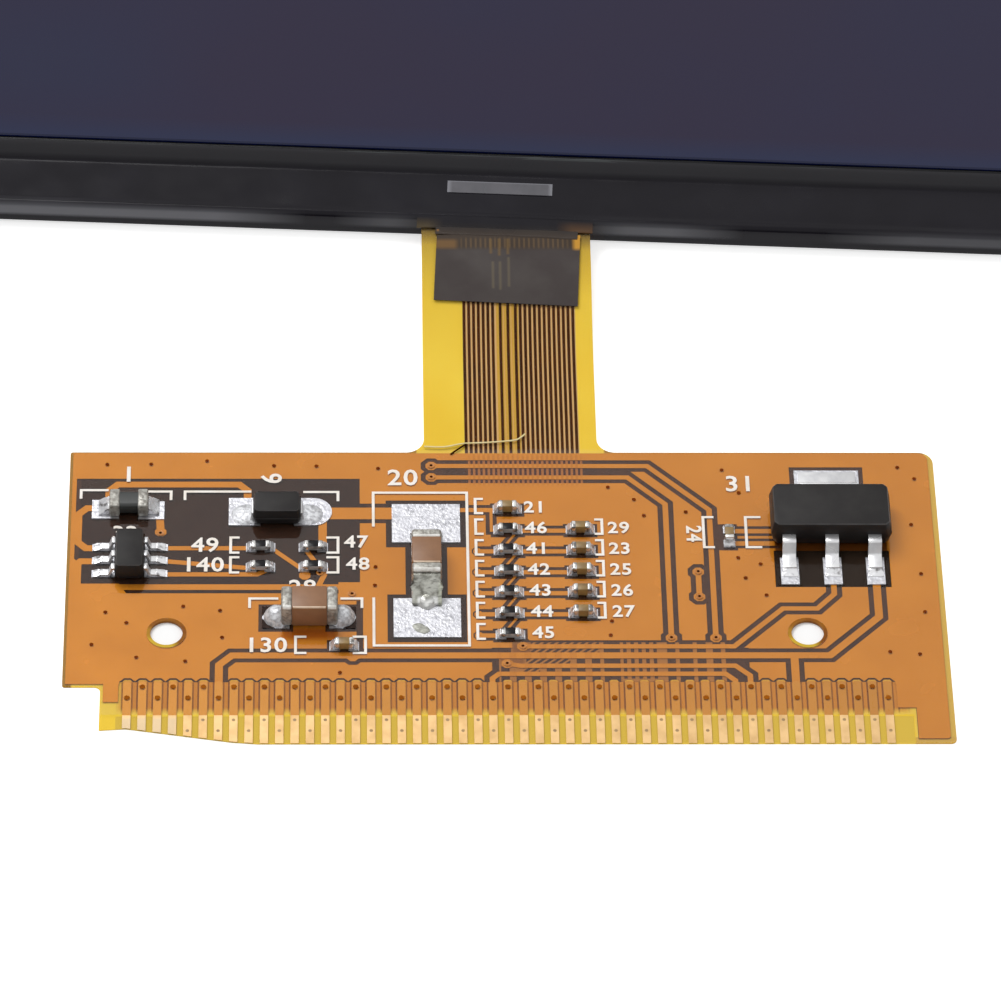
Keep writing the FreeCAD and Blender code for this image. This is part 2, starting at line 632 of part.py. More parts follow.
def pour_openings():
    """All that the copper pour keeps clear of."""
    gap = S.pad_gap
    cuts = [converter_window()]
    for path, width, channel in signal_lines() + row_lines() + input_lines() + converter_lines():
        if channel > 0:
            cuts.append(ribbon(path, width + 2 * channel))
    for x, y in LANDS:
        cuts.append(round_land(x, y, S.via_radius + S.trace_gap))
    for x, y in row_lands():
        cuts.append(round_land(x, y, S.via_radius))
    for x_low, y_low, x_high, y_high in TANK_PADS:
        cuts.append(block(x_low - gap, y_low - gap, x_high + gap, y_high + gap))
    x = TANK_CAPACITOR[0]
    half = S.bulk_width / 2 + gap
    cuts.append(block(x - half, TANK_PADS[1][3], x + half, TANK_PADS[0][1]))
    for x_low, y_low, x_high, y_high in BOOST_PADS:
        cuts.append(block(x_low - 0.2, y_low - 0.2, x_high + 0.2, y_high + 0.2))
    for x, y, upright in small_chips():
        box = turned(x, y, upright, 2 * S.chip_pad_reach, S.chip_pad_width)
        cuts.append(block(box[0] - 0.14, box[1] - 0.18, box[2] + 0.14, box[3] + 0.18))
    x, y, upright = INPUT_CAPACITOR
    cuts.append(block(x - 0.75, y - 0.95, x + 0.45, y + 0.95))
    cuts.append(block(-7.95, 6.5, -7.6, 10.0))
    tip = S.regulator_y - S.regulator_reach
    edge = S.regulator_pitch + 0.8
    cuts.append(block(S.regulator_x - edge, tip - 1.15, S.regulator_x + edge, tip + 1.5))
    half = S.regulator_tab / 2 + 0.45
    top = S.regulator_y + S.regulator_tab_reach + 0.65
    cuts.append(block(S.regulator_x - half, S.regulator_y, S.regulator_x + half, top))
    for index in range(int(S.contact_count)):
        cuts.append(round_land(finger_x(index), S.contact_top_y, S.scallop_radius,
                               int(S.scallop_sides)))
    row_left = finger_x(0) - S.scallop_radius
    row_right = finger_x(S.contact_count - 1) + S.scallop_radius
    cuts.append(block(row_left, -1, row_right, S.contact_top_y))
    cuts.append(block(row_right - 0.1, -1, S.ear_gap_left, S.ear_top_y))
    cuts.append(block(LEFT, -1, row_left + 0.1, S.left_ear_y))
    bundle_left = finger_x(FINGER_TO_FOURTH)
    bundle_right = finger_x(THIRD_TO_FINGER)
    cuts.append(block(bundle_left, S.contact_top_y, bundle_right, S.lane_first_y - 0.1))
    for x, y in hole_places():
        cuts.append(disc(x, y, S.hole_radius + S.hole_rim))
    return cuts


def pour_outline():
    edge = S.pour_margin
    left = LEFT + S.pour_margin_left
    top = S.board_depth - S.pour_margin_top
    foot = left + S.notch_width
    return rounded([
        (foot, edge, 0),
        (RIGHT - edge, edge, 0.2),
        (RIGHT - edge, top, S.board_corner - edge),
        (left, top, 0),
        (left, S.notch_depth + S.pour_margin_left, 0),
        (foot, S.notch_depth + S.pour_margin_left, 0),
    ])


def copper_layers():
    pour = pour_outline().cut(pour_openings())
    pieces = [face for face in pour.Faces if face.Area > 0.3]
    feature("front_copper", Part.makeCompound([slab(face, FRONT_COPPER, S.copper_thick)
                                               for face in pieces]))
    pads = joined(pad_faces())
    lines = [ribbon(path, width) for path, width, channel
             in signal_lines() + row_lines() + input_lines() + converter_lines()]
    lines += [round_land(x, y, S.via_radius) for x, y in LANDS + WINDOW_LANDS]
    lines += [round_land(x, y, S.via_radius - 0.08) for x, y in row_lands()]
    fingers = Part.makeCompound([finger(index) for index in range(int(S.contact_count))])
    contacts = fingers.common(board_outline())
    keep_clear = [pads, contacts] + [disc(x, y, S.hole_radius) for x, y in hole_places()]
    traces = joined(lines).cut(keep_clear).cut(pieces)
    trace_faces = [face for face in traces.Faces if face.Area > 0.01]
    feature("signal_traces", Part.makeCompound([slab(face, FRONT_COPPER, S.copper_thick)
                                                for face in trace_faces]))
    feature("edge_contacts", slab(contacts, FRONT_COPPER, S.copper_thick))
    feature("solder_pads", slab(pads, FRONT_COPPER, PARTS - FRONT_COPPER))
    return pads


def film_circuit():
    rim_radius = S.hole_radius + S.hole_rim
    holes = [disc(x, y, rim_radius) for x, y in hole_places()]
    outline = board_outline().cut(holes)
    rims = [slab(disc(x, y, rim_radius).cut(disc(x, y, S.hole_radius)), 0, FILM_TOP)
            for x, y in hole_places()]
    feature("hole_rims", Part.makeCompound(rims))
    film_layer("back_coverlay", outline, 0, BACK_COPPER)
    film_layer("base_film", outline, BASE, FRONT_COPPER)
    pads = copper_layers()
    below = block(LEFT - 1, -1, S.ear_gap_left - S.pour_margin / 2, S.cover_start_y)
    film_layer("front_coverlay", outline.cut([below, pads]), FRONT_COVER, FILM_TOP)
    plane = pour_outline().cut(holes + [block(LEFT, -1, RIGHT - 2, S.contact_top_y + 0.2)])
    lines = tail_line_places()
    plane = plane.cut(block(lines[0] - S.tail_line_pitch / 2, S.tail_line_end_y - 0.15,
                            lines[-1] + S.tail_line_pitch / 2, S.board_depth))
    lines_at = [FINGER_TO_SUPPLY, SUPPLY_BRANCH, THIRD_TO_FINGER, FINGER_TO_FOURTH, FOURTH_TO_FINGER]
    heads = [round_land(finger_x(index), S.contact_top_y, S.scallop_radius - S.rear_edge,
                        int(S.scallop_sides))
             for index in range(int(S.contact_count)) if index not in lines_at]
    plane = plane.cut(heads)
    feature("back_copper", slab(plane, BACK_COPPER, S.copper_thick))


def tail_line_places():
    """Middles of the tail's dark lines: a close group, a few supply lines, a close group."""
    close = [S.tail_line_pitch]
    gaps = close * int(S.tail_left_lines - 1) + [S.tail_supply_gap] * int(S.tail_supply_lines)
    gaps += close * int(S.tail_right_lines)
    places = [S.tail_line_start_x]
    for gap in gaps:
        places.append(places[-1] + gap)
    return places


def tail_traces():
    solids = []
    half = S.tail_line_width / 2
    for x in tail_line_places():
        flat = slab(block(x - half, S.tail_line_end_y, x + half, S.tail_climb_start_y),
                    BACK_COPPER, S.copper_thick)
        climb = tail_strip(x - half, x + half, BACK_COPPER, BASE)
        solids.append(flat.fuse(climb).removeSplitter())
    feature("tail_traces", Part.makeCompound(solids))


def tail_patch():
    place = panel_placement()
    strip = tail_strip(TAIL_LEFT, TAIL_RIGHT, FILM_TOP, FILM_TOP + S.patch_thick)
    x_low = S.patch_middle_x - S.patch_width / 2
    window = Part.makeBox(S.patch_width, S.patch_length, 4 * LEDGE_TOP,
                          FreeCAD.Vector(x_low, -S.patch_front, 0))
    window.Placement = place
    coated = Part.makeBox(S.tail_width, TAIL_END, 4 * LEDGE_TOP,
                          FreeCAD.Vector(TAIL_LEFT, S.panel_edge_y - S.tongue_length, 0))
    feature("tail_patch", strip.common(window).cut(coated))


def tail_bond():
    """Strip between the ledge and the tail end, cut along the ledge's slanting edge."""
    strip = Part.makeBox(S.tail_width, 2 * S.tail_overlap, S.bond_thick,
                         FreeCAD.Vector(TAIL_LEFT, TAIL_END - 2 * S.tail_overlap, LEDGE_TOP))
    ledge = Part.makeBox(S.panel_width, S.ledge_depth, LEDGE_TOP * 2,
                         FreeCAD.Vector(-S.panel_width / 2, 0, 0))
    ledge.Placement = panel_placement()
    feature("tail_bond", strip.common(ledge))


# The panel, built in its own frame and turned into place.

def place_on_panel(item):
    item.setExpression("Placement.Base.x", "sizes.panel_middle_x")
    item.setExpression("Placement.Base.y", "sizes.panel_edge_y")
    item.setExpression("Placement.Rotation.Angle", "sizes.panel_turn * 1 deg")


def origin_plane(body, role):
    return next(item for item in body.Origin.OriginFeatures if item.Role == role)


def centred_rectangle(body, width, depth, offset):
    """Sketch of a rectangle about its own centre, which offset moves in the body."""
    sketch = body.newObject("Sketcher::SketchObject", "outline")
    sketch.AttachmentSupport = (origin_plane(body, "XY_Plane"), [""])
    sketch.MapMode = "FlatFace"
    corners = [FreeCAD.Vector(x, y, 0) for x, y in ((-1, -1), (1, -1), (1, 1), (-1, 1))]
    for i in range(4):
        sketch.addGeometry(Part.LineSegment(corners[i], corners[(i + 1) % 4]), False)
    for i in range(4):
        sketch.addConstraint(Sketcher.Constraint("Coincident", i, 2, (i + 1) % 4, 1))
    for i, way in enumerate(("Horizontal", "Vertical", "Horizontal", "Vertical")):
        sketch.addConstraint(Sketcher.Constraint(way, i))
    sketch.addConstraint(Sketcher.Constraint("Symmetric", 0, 1, 2, 1, -1, 1))
    wide = sketch.addConstraint(Sketcher.Constraint("DistanceX", 0, 1, 0, 2, 2.0))
    deep = sketch.addConstraint(Sketcher.Constraint("DistanceY", 1, 1, 1, 2, 2.0))
    sketch.setExpression(f"Constraints[{wide}]", width)
    sketch.setExpression(f"Constraints[{deep}]", depth)
    for axis, text in zip("xyz", offset):
        sketch.setExpression(f"AttachmentOffset.Base.{axis}", text)
    return sketch


def pad(body, sketch, length, reversed_way=False, taper=None):
    solid = body.newObject("PartDesign::Pad", "thickness")
    solid.Profile = sketch
    solid.Reversed = reversed_way
    solid.setExpression("Length", length)
    if taper:
        solid.setExpression("TaperAngle", taper)
    sketch.Visibility = False
    return solid


def top_edges(shape):
    """Names of the edges round the highest face."""
    top = shape.BoundBox.ZMax
    return [f"Edge{i}" for i, edge in enumerate(shape.Edges, start=1)
            if abs(edge.BoundBox.ZMin - top) < 1e-6]


def bevelled_top(body, solid, size):
    doc.recompute()
    bevel = body.newObject("PartDesign::Chamfer", "ground_edge")
    bevel.Base = (solid, top_edges(solid.Shape))
    bevel.setExpression("Size", size)
    return bevel


def sheet_body(label, width, depth, thickness, offset, bevel=None):
    """A plate of the panel."""
    body = doc.addObject("PartDesign::Body", label)
    sketch = centred_rectangle(body, width, depth, offset)
    solid = pad(body, sketch, thickness)
    if bevel:
        bevelled_top(body, solid, bevel)
    place_on_panel(body)
    return keep(body, label)


def panel_plates():
    face_depth = "sizes.panel_depth - sizes.ledge_depth"
    face_middle = "(sizes.panel_depth + sizes.ledge_depth) / 2"
    inner_width = "sizes.panel_width - 2 * sizes.polarizer_inset"
    inner_depth = face_depth + " - 2 * sizes.polarizer_inset"
    sheet_body("rear_polarizer", inner_width, inner_depth, "sizes.polarizer_thick",
               ("0", face_middle, "0"))
    sheet_body("rear_glass", "sizes.panel_width", "sizes.panel_depth", "sizes.glass_thick",
               ("0", "sizes.panel_depth / 2", "sizes.polarizer_thick"), "sizes.glass_bevel")
    sheet_body("front_glass", "sizes.panel_width", face_depth, "sizes.glass_thick",
               ("0", face_middle, FRONT_TEXT), "sizes.glass_bevel")
    sheet_body("front_polarizer", inner_width, inner_depth, "sizes.polarizer_thick",
               ("0", face_middle, FRONT_TEXT + " + sizes.glass_thick"), "sizes.glass_bevel")
    sheet_body("driver_chip", "sizes.driver_width", "sizes.driver_depth", "sizes.driver_height",
               ("sizes.driver_side", "sizes.driver_back", LEDGE_TEXT))
    seal = doc.addObject("PartDesign::Body", "perimeter_seal")
    offset = ("0", face_middle, LEDGE_TEXT)
    bevels = " - 2 * sizes.glass_bevel"
    pad(seal, centred_rectangle(seal, "sizes.panel_width" + bevels, face_depth + bevels, offset),
        "sizes.cell_gap")
    rim = " - 2 * sizes.glass_bevel - 2 * sizes.seal_width"
    cell = centred_rectangle(seal, "sizes.panel_width" + rim, face_depth + rim, offset)
    pocket = seal.newObject("PartDesign::Pocket", "cell")
    pocket.Profile = cell
    pocket.Reversed = True
    pocket.setExpression("Length", "sizes.cell_gap")
    place_on_panel(seal)
    keep(seal, "perimeter_seal")


def ledge_coating():
    """Coat whose bead, groove and ramp run along the ledge; it leaves room for chip and tail."""
    top = LEDGE_TOP
    coat = top + S.coating_thick
    lip = S.coating_lip_width
    wall = FRONT_GLASS + S.glass_thick - S.coating_step
    ramp = S.ledge_depth - S.coating_ramp

    def at(y, z):
        return FreeCAD.Vector(-S.panel_width / 2, y, z)

    front = Part.LineSegment(at(0, top), at(0, coat - 0.1)).toShape()
    bead = Part.Arc(at(0, coat - 0.1), at(lip * 0.25, coat + S.coating_lip),
                    at(lip * 0.65, coat - 0.03)).toShape()
    groove = Part.LineSegment(at(lip * 0.65, coat - 0.03), at(lip, coat - 0.03)).toShape()
    field = Part.LineSegment(at(lip, coat - 0.03), at(ramp, coat)).toShape()
    rise = Part.Arc(at(ramp, coat), at(ramp + S.coating_ramp * 0.65, coat + (wall - coat) * 0.35),
                    at(S.ledge_depth, wall)).toShape()
    back = Part.LineSegment(at(S.ledge_depth, wall), at(S.ledge_depth, top)).toShape()
    floor = Part.LineSegment(at(S.ledge_depth, top), at(0, top)).toShape()
    section = Part.Face(Part.Wire([front, bead, groove, field, rise, back, floor]))
    bar = section.extrude(FreeCAD.Vector(S.panel_width, 0, 0))
    chip = Part.makeBox(S.driver_width, S.driver_depth, S.driver_height * 2,
                        FreeCAD.Vector(S.driver_side - S.driver_width / 2,
                                       S.driver_back - S.driver_depth / 2, top))
    bar = bar.cut(chip)
    bar.Placement = panel_placement()
    rise_height = top + S.bond_thick
    tail_room = Part.makeBox(S.tail_width, 2 * S.tail_overlap + 1, rise_height + FILM_TOP - top,
                             FreeCAD.Vector(TAIL_LEFT, TAIL_END - 2 * S.tail_overlap - 1, top))
    tongue = tail_strip(TAIL_LEFT, TAIL_RIGHT, FILM_TOP, FILM_TOP + S.tongue_thick)
    reach = Part.makeBox(S.tail_width, S.tongue_length + 0.5, 4 * top,
                         FreeCAD.Vector(TAIL_LEFT, S.panel_edge_y - S.tongue_length, 0))
    whole = bar.cut(tail_room).fuse(tongue.common(reach)).removeSplitter()
    feature("ledge_coating", whole)


def fill_port_plug():
    """Bead of glue on the far edge, where the cell was filled."""
    half = S.plug_width / 2
    y = S.panel_depth
    level = FRONT_GLASS - S.plug_height / 2
    start = FreeCAD.Vector(S.plug_side - half, y, level)
    middle = FreeCAD.Vector(S.plug_side, y + S.plug_proud, level)
    end = FreeCAD.Vector(S.plug_side + half, y, level)
    face = Part.Face(Part.Wire([Part.Arc(start, middle, end).toShape(),
                                Part.LineSegment(end, start).toShape()]))
    feature("fill_port_plug", face.extrude(UP * S.plug_height), panel_placement())


# Parts on the board.

def moulded_body(label, x, y, width, depth, height):
    """Moulded package: sides slope away from the level where the leads come out."""
    body = doc.addObject("PartDesign::Body", label)
    split = f"{height} * sizes.lead_level"
    pad(body, centred_rectangle(body, width, depth, ("0", "0", split)),
                f"{height} - {split}", taper="-sizes.draft_angle * 1 deg")
    lower = pad(body, centred_rectangle(body, width, depth, ("0", "0", split)),
                f"{split} - sizes.stand_off", True, "-sizes.draft_angle * 1 deg")
    bevelled_top(body, lower, "sizes.body_edge")
    body.setExpression("Placement.Base.x", x)
    body.setExpression("Placement.Base.y", y)
    body.setExpression("Placement.Base.z", PARTS_TEXT)
    keep(body, label)


def lead(start, reach, level, metal, width, foot):
    """Gull-wing lead along +Y from start to reach, on the parts' level."""
    bend = reach - foot
    profile = [
        (start, level - metal / 2), (start, level + metal / 2), (bend - metal * 0.7, level + metal / 2),
        (bend + metal * 0.3, level), (bend + metal * 0.75, metal), (reach, metal), (reach, 0),
        (bend, 0), (bend - metal * 0.6, level - metal / 2),
    ]
    corners = [FreeCAD.Vector(-width / 2, y, z) for y, z in profile]
    face = Part.Face(Part.makePolygon(corners + corners[:1]))
    return face.extrude(FreeCAD.Vector(width, 0, 0))


def placed(solid, x, y, angle):
    copy = solid.copy()
    copy.Placement = FreeCAD.Placement(FreeCAD.Vector(x, y, PARTS), FreeCAD.Rotation(UP, angle))
    return copy


def regulator():
    moulded_body("regulator_body", "sizes.regulator_x", "sizes.regulator_y",
                 "sizes.regulator_width", "sizes.regulator_depth", "sizes.regulator_height")
    level = S.regulator_height * S.lead_level
    edge = S.regulator_depth / 2
    thin = lead(edge, S.regulator_reach, level, S.regulator_metal, S.regulator_lead, 0.85)
    wide = lead(edge, S.regulator_tab_reach, level, S.regulator_metal, S.regulator_tab, 0.85)
    solids = [placed(thin, x, S.regulator_y, 180) for x in regulator_columns()]
    solids.append(placed(wide, S.regulator_x, S.regulator_y, 0))
    feature("regulator_leads", Part.makeCompound(solids))


def converter():
    moulded_body("converter_body", "sizes.converter_x", "sizes.converter_y",
                 "sizes.converter_width", "sizes.converter_depth", "sizes.converter_height")
    level = S.converter_height * S.lead_level
    one = lead(S.converter_width / 2, S.converter_reach, level, S.tab_thick, S.converter_lead, 0.3)
    solids = []
    for y in converter_rows():
        solids.append(placed(one, S.converter_x, y, 90))
        solids.append(placed(one, S.converter_x, y, -90))
    feature("converter_leads", Part.makeCompound(solids))


def diode():
    moulded_body("diode_body", "sizes.diode_x", "sizes.diode_y", "sizes.diode_length",
                 "sizes.diode_width", "sizes.diode_height")
    level = S.diode_height * S.lead_level
    one = lead(S.diode_length / 2, S.diode_tab_reach, level, S.tab_thick, S.diode_tab_width, 0.25)
    feature("diode_tabs", Part.makeCompound([placed(one, S.diode_x, S.diode_y, angle)
                                             for angle in (90, -90)]))


def chip_core(label, x, y, upright, length, width, height, cap):
    """Ceramic middle of a chip, between its end caps."""
    item = doc.addObject("Part::Box", label)
    long_side, short_side = ("Width", "Length") if upright else ("Length", "Width")
    item.setExpression(long_side, f"{length} - 2 * {cap}")
    item.setExpression(short_side, width)
    item.setExpression("Height", height)
    long_axis, short_axis = ("y", "x") if upright else ("x", "y")
    middle = {"x": x, "y": y}
    item.setExpression(f"Placement.Base.{long_axis}",
                       f"{middle[long_axis]} - {length} / 2 + {cap}")
    item.setExpression(f"Placement.Base.{short_axis}", f"{middle[short_axis]} - {width} / 2")
    item.setExpression("Placement.Base.z", PARTS_TEXT)
    return keep(item, label)


def chip_caps(x, y, upright, length, width, height, cap):
    boxes = []
    for side in (-1, 1):
        middle = side * (length - cap) / 2
        px, py = (x, y + middle) if upright else (x + middle, y)
        x_low, y_low, x_high, y_high = turned(px, py, upright, cap, width)
        boxes.append(Part.makeBox(x_high - x_low, y_high - y_low, height,
                                  FreeCAD.Vector(x_low, y_low, PARTS)))
    return boxes


def chips():
    cores = {
        "resistor": (RESISTORS, "sizes.resistor_height"),
        "capacitor": (SMALL_CAPACITORS, "sizes.capacitor_height"),
    }
    for kind, (places, height) in cores.items():
        for number, (x, y, upright) in enumerate(places, start=1):
            chip_core(f"{kind}_{number}", str(x), str(y), upright, "sizes.chip_length",
                      "sizes.chip_width", height, "sizes.chip_cap")
    for number, (x, y, upright) in enumerate(BULK_CAPACITORS, start=len(SMALL_CAPACITORS) + 1):
        chip_core(f"capacitor_{number}", str(x), str(y), upright, "sizes.bulk_length",
                  "sizes.bulk_width", "sizes.bulk_height", "sizes.bulk_cap")
    chip_core("inductor_core", "sizes.inductor_x", "sizes.inductor_y", False,
              "sizes.inductor_length", "sizes.inductor_width", "sizes.inductor_height",
              "sizes.inductor_cap")
    small = (S.chip_length, S.chip_width)
    caps = [box for x, y, upright in RESISTORS
            for box in chip_caps(x, y, upright, *small, S.resistor_height, S.chip_cap)]
    feature("resistor_caps", Part.makeCompound(caps))
    caps = [box for x, y, upright in SMALL_CAPACITORS
            for box in chip_caps(x, y, upright, *small, S.capacitor_height, S.chip_cap)]
    for x, y, upright in BULK_CAPACITORS:
        caps += chip_caps(x, y, upright, S.bulk_length, S.bulk_width, S.bulk_height, S.bulk_cap)
    feature("capacitor_caps", Part.makeCompound(caps))
    feature("inductor_caps", Part.makeCompound(
        chip_caps(S.inductor_x, S.inductor_y, False, S.inductor_length, S.inductor_width,
                  S.inductor_height, S.inductor_cap)))


def fillet_wedge(reach, rise, width):
    """Solder that slopes from an end face, at Y zero, down to the pad ahead of it."""
    profile = [(0, 0), (0, rise), (reach * 0.35, rise * 0.4), (reach, 0)]
    corners = [FreeCAD.Vector(-width / 2, y, z) for y, z in profile]
    face = Part.Face(Part.makePolygon(corners + corners[:1]))
    return face.extrude(FreeCAD.Vector(width, 0, 0))


def solder_pair(x, y, upright, length, reach, rise, width):
    """Solder at both ends of a part that lies along X, or along Y where upright is set."""
    wedge = fillet_wedge(reach, rise, width)
    pairs = []
    for side in (-1, 1):
        offset = side * length / 2
        if upright:
            pairs.append(placed(wedge, x, y + offset, 0 if side > 0 else 180))
        else:
            pairs.append(placed(wedge, x + offset, y, -90 if side > 0 else 90))
    return pairs


def solder_joints():
    joints = []
    for places, height in ((RESISTORS, S.resistor_height), (SMALL_CAPACITORS, S.capacitor_height)):
        for x, y, upright in places:
            joints += solder_pair(x, y, upright, S.chip_length, S.solder_reach,
                                  height * S.solder_rise, S.chip_width)
    for x, y, upright in BULK_CAPACITORS:
        joints += solder_pair(x, y, upright, S.bulk_length, 0.9 if not upright else 1.0,
                              S.bulk_height * 0.5, S.bulk_width - 0.2)
    joints += solder_pair(S.inductor_x, S.inductor_y, False, S.inductor_length, 0.7,
                          S.inductor_height * 0.5, S.inductor_width - 0.3)
    joints += solder_pair(S.diode_x, S.diode_y, False, 2 * S.diode_tab_reach, 0.6,
                          S.tab_thick, S.diode_tab_width)
    feature("solder_joints", Part.makeCompound(joints))


def bracket(x, y_low, y_high, arm, line):
    """Upright printed line with two arms, to the right or, with a negative arm, to the left."""
    outer = block(x, y_low, x + line, y_high)
    x_low, x_high = sorted((x, x + arm))
    ends = [block(x_low, y, x_high, y + line) for y in (y_low, y_high - line)]
    return joined([outer] + ends)


def corner_mark(x_low, x_high, y, drop, line, left=True, right=True):
    """Level printed line with short legs."""
    faces = [block(x_low, y - line, x_high, y)]
    if left:
        faces.append(block(x_low, y - drop, x_low + line, y))
    if right:
        faces.append(block(x_high - line, y - drop, x_high, y))
    return joined(faces)


def legend_marks():
    line = S.legend_line
    marks = []
    for row in range(0, 7):
        y = row_y(row)
        marks.append(bracket(-1.6, y - 0.36, y + 0.84, 0.5, line))
    for row in range(1, 6):
        y = row_y(row)
        marks.append(bracket(5.2, y - 0.36, y + 0.84, -0.33, line))
    for y in (S.pair_upper_y, S.pair_lower_y):
        marks.append(bracket(-14.75, y - 0.45, y + 0.8, 0.55, line))
        marks.append(bracket(-9.0, y - 0.45, y + 0.8, -0.55, line))
    x, y, upright = INPUT_CAPACITOR
    marks.append(bracket(10.66, y - 0.85, y + 1.5, 0.65, line))
    marks.append(bracket(12.95, y - 0.85, y + 1.5, 0.9, line))
    x, y, upright = TRIM_CAPACITOR
    marks.append(bracket(-11.25, y - 0.55, y + 0.75, 0.65, line))
    marks.append(bracket(-7.55, y - 0.55, y + 0.75, -0.6, line))
    marks.append(corner_mark(-22.85, -21.3, 18.1, 0.7, line, right=False))
    marks.append(corner_mark(-19.5, -17.85, 18.0, 0.7, line, left=False))
    marks.append(corner_mark(-17.25, -13.6, 18.0, 0.7, line, right=False))
    marks.append(corner_mark(-10.8, -8.85, 17.97, 0.75, line, left=False))
    marks.append(corner_mark(-13.7, -12.1, 10.2, 0.75, line, right=False))
    marks.append(corner_mark(-8.8, -7.58, 10.2, 0.75, line, left=False))
    frame_left, frame_low, frame_right, frame_high = -7.1, 6.7, -1.9, 17.92
    marks.append(block(frame_left, frame_high - line, frame_right, frame_high))
    marks.append(block(frame_left, frame_low, frame_right, frame_low + line))
    marks.append(block(frame_right - line, frame_low, frame_right, frame_high))
    marks.append(block(frame_left, 15.35, frame_left + line, frame_high))
    marks.append(block(frame_left, frame_low, frame_left + line, 10.2))
    pads = joined(pad_faces())
    printed = joined(marks).cut(pads)
    feature("legend_marks", slab(printed, FILM_TOP, S.legend_thick))


film_circuit()
tail_traces()
tail_patch()
tail_bond()
panel_plates()
ledge_coating()
fill_port_plug()
regulator()
converter()
diode()
chips()
solder_joints()
legend_marks()
doc.recompute()

failed = [item.Label for item in doc.Objects if {"Invalid", "Error"} & set(item.State)]
if failed:
    raise RuntimeError("failed objects: " + ", ".join(failed))
for item in nodes:
    if item.Shape.isNull() or not item.Shape.isValid():
        raise RuntimeError("bad shape: " + item.Label)

os.makedirs("parts", exist_ok=True)
for item in nodes:
    item.Shape.exportStep(os.path.join("parts", item.Label + ".step"))
    print(item.Label, len(item.Shape.Solids), round(item.Shape.Volume, 4))
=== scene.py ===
import bpy
import json
import math
from mathutils import Matrix, Vector


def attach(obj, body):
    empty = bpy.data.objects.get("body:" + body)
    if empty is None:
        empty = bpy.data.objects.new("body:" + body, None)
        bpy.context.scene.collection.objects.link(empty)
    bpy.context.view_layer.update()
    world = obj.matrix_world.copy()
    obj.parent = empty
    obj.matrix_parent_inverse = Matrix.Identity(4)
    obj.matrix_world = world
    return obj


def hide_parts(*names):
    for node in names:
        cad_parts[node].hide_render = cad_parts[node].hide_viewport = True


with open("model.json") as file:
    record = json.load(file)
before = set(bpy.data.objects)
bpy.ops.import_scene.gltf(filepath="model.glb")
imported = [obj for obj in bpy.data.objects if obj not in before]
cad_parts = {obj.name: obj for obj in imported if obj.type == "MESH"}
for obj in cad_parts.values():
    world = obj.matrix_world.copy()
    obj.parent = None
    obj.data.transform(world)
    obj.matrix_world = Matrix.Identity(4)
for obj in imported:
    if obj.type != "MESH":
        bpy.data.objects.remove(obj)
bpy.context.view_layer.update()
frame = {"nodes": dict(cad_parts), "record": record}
nodes = frame["nodes"]

# Places and levels are in mm, and MM turns them into metres
MM = 0.001
FILM_TOP = 0.165          # top of the film circuit above the table
PARTS = FILM_TOP + 0.01   # the parts stand at this level
MARK_LEVEL = FILM_TOP + 0.001
PRINT_LEVEL = FILM_TOP + 0.006
BARE_TOP = 0.115          # top of the bare contacts
STAND_OFF = 0.06          # gap under a body
DIODE_HEIGHT = 1.1
HOLES = [(-18.01, 7.69), (15.98, 7.69)]
CONTACT_COUNT, CONTACT_PITCH, FIRST_CONTACT = 51, 0.8, -20
COVER_EDGE = 1.925        # the front cover film ends here, and the contacts are bare ahead of it
TAIL_FOOT = 20.9          # the tail leaves the board here
TAIL_LINES = (-1.95, 4.4)
TAIL_LINE_PITCH, FIRST_TAIL_LINE = 0.265, -1.87
TAIL_LINES_END = 18.3     # the tail's lines run on over the board as far as this
REGULATOR_WINDOW = (14.4, 20.7, 10.95, 13.7)     # its left, right, front and back
PANEL_X, PANEL_Y = 0.3, 37.5
PANEL_TURN = math.radians(-2.8)
PANEL_WIDTH = 84.0
PANEL = Matrix.Translation((PANEL_X, PANEL_Y, 0)) @ Matrix.Rotation(PANEL_TURN, 4, "Z")
FAR = 900.0               # beyond everything


# Shared effects

def feed(tree, socket, value):
    """Puts a value on an input, or links another node's output to it."""
    if isinstance(value, bpy.types.NodeSocket):
        tree.links.new(value, socket)
    else:
        socket.default_value = value


def added(tree, kind, settings=None, **inputs):
    """A new node, set and with its inputs fed by name. In the names underscores stand for spaces."""
    node = tree.nodes.new("ShaderNode" + kind)
    for name, value in (settings or {}).items():
        setattr(node, name, value)
    for name, value in inputs.items():
        feed(tree, node.inputs[name.replace("_", " ")], value)
    return node


def worked(tree, operation, *values, clamp=False):
    """The output of a math node. Each value is a number or another node's output."""
    step = added(tree, "Math", {"operation": operation, "use_clamp": clamp})
    for socket, value in zip(step.inputs, values):
        feed(tree, socket, value)
    return step.outputs[0]


def effect_group(name, output, kind, **inputs):
    """A shader node group: the group, its inputs as a node's outputs, and the socket of its result."""
    group = bpy.data.node_groups.new(name, "ShaderNodeTree")
    for label, value in inputs.items():
        form = "NodeSocketColor" if isinstance(value, tuple) else "NodeSocketFloat"
        socket = group.interface.new_socket(label.replace("_", " "), in_out="INPUT", socket_type=form)
        socket.default_value = value
    group.interface.new_socket(output, in_out="OUTPUT", socket_type="NodeSocket" + kind)
    start = group.nodes.new("NodeGroupInput").outputs
    return group, start, group.nodes.new("NodeGroupOutput").inputs[output]


def place_in(tree):
    """Object coordinates."""
    return added(tree, "TexCoord").outputs["Object"]


def noise_in(group, scale, detail):
    """Noise on Object coordinates."""
    return added(group, "TexNoise", Vector=place_in(group), Scale=scale, Detail=detail).outputs["Fac"]


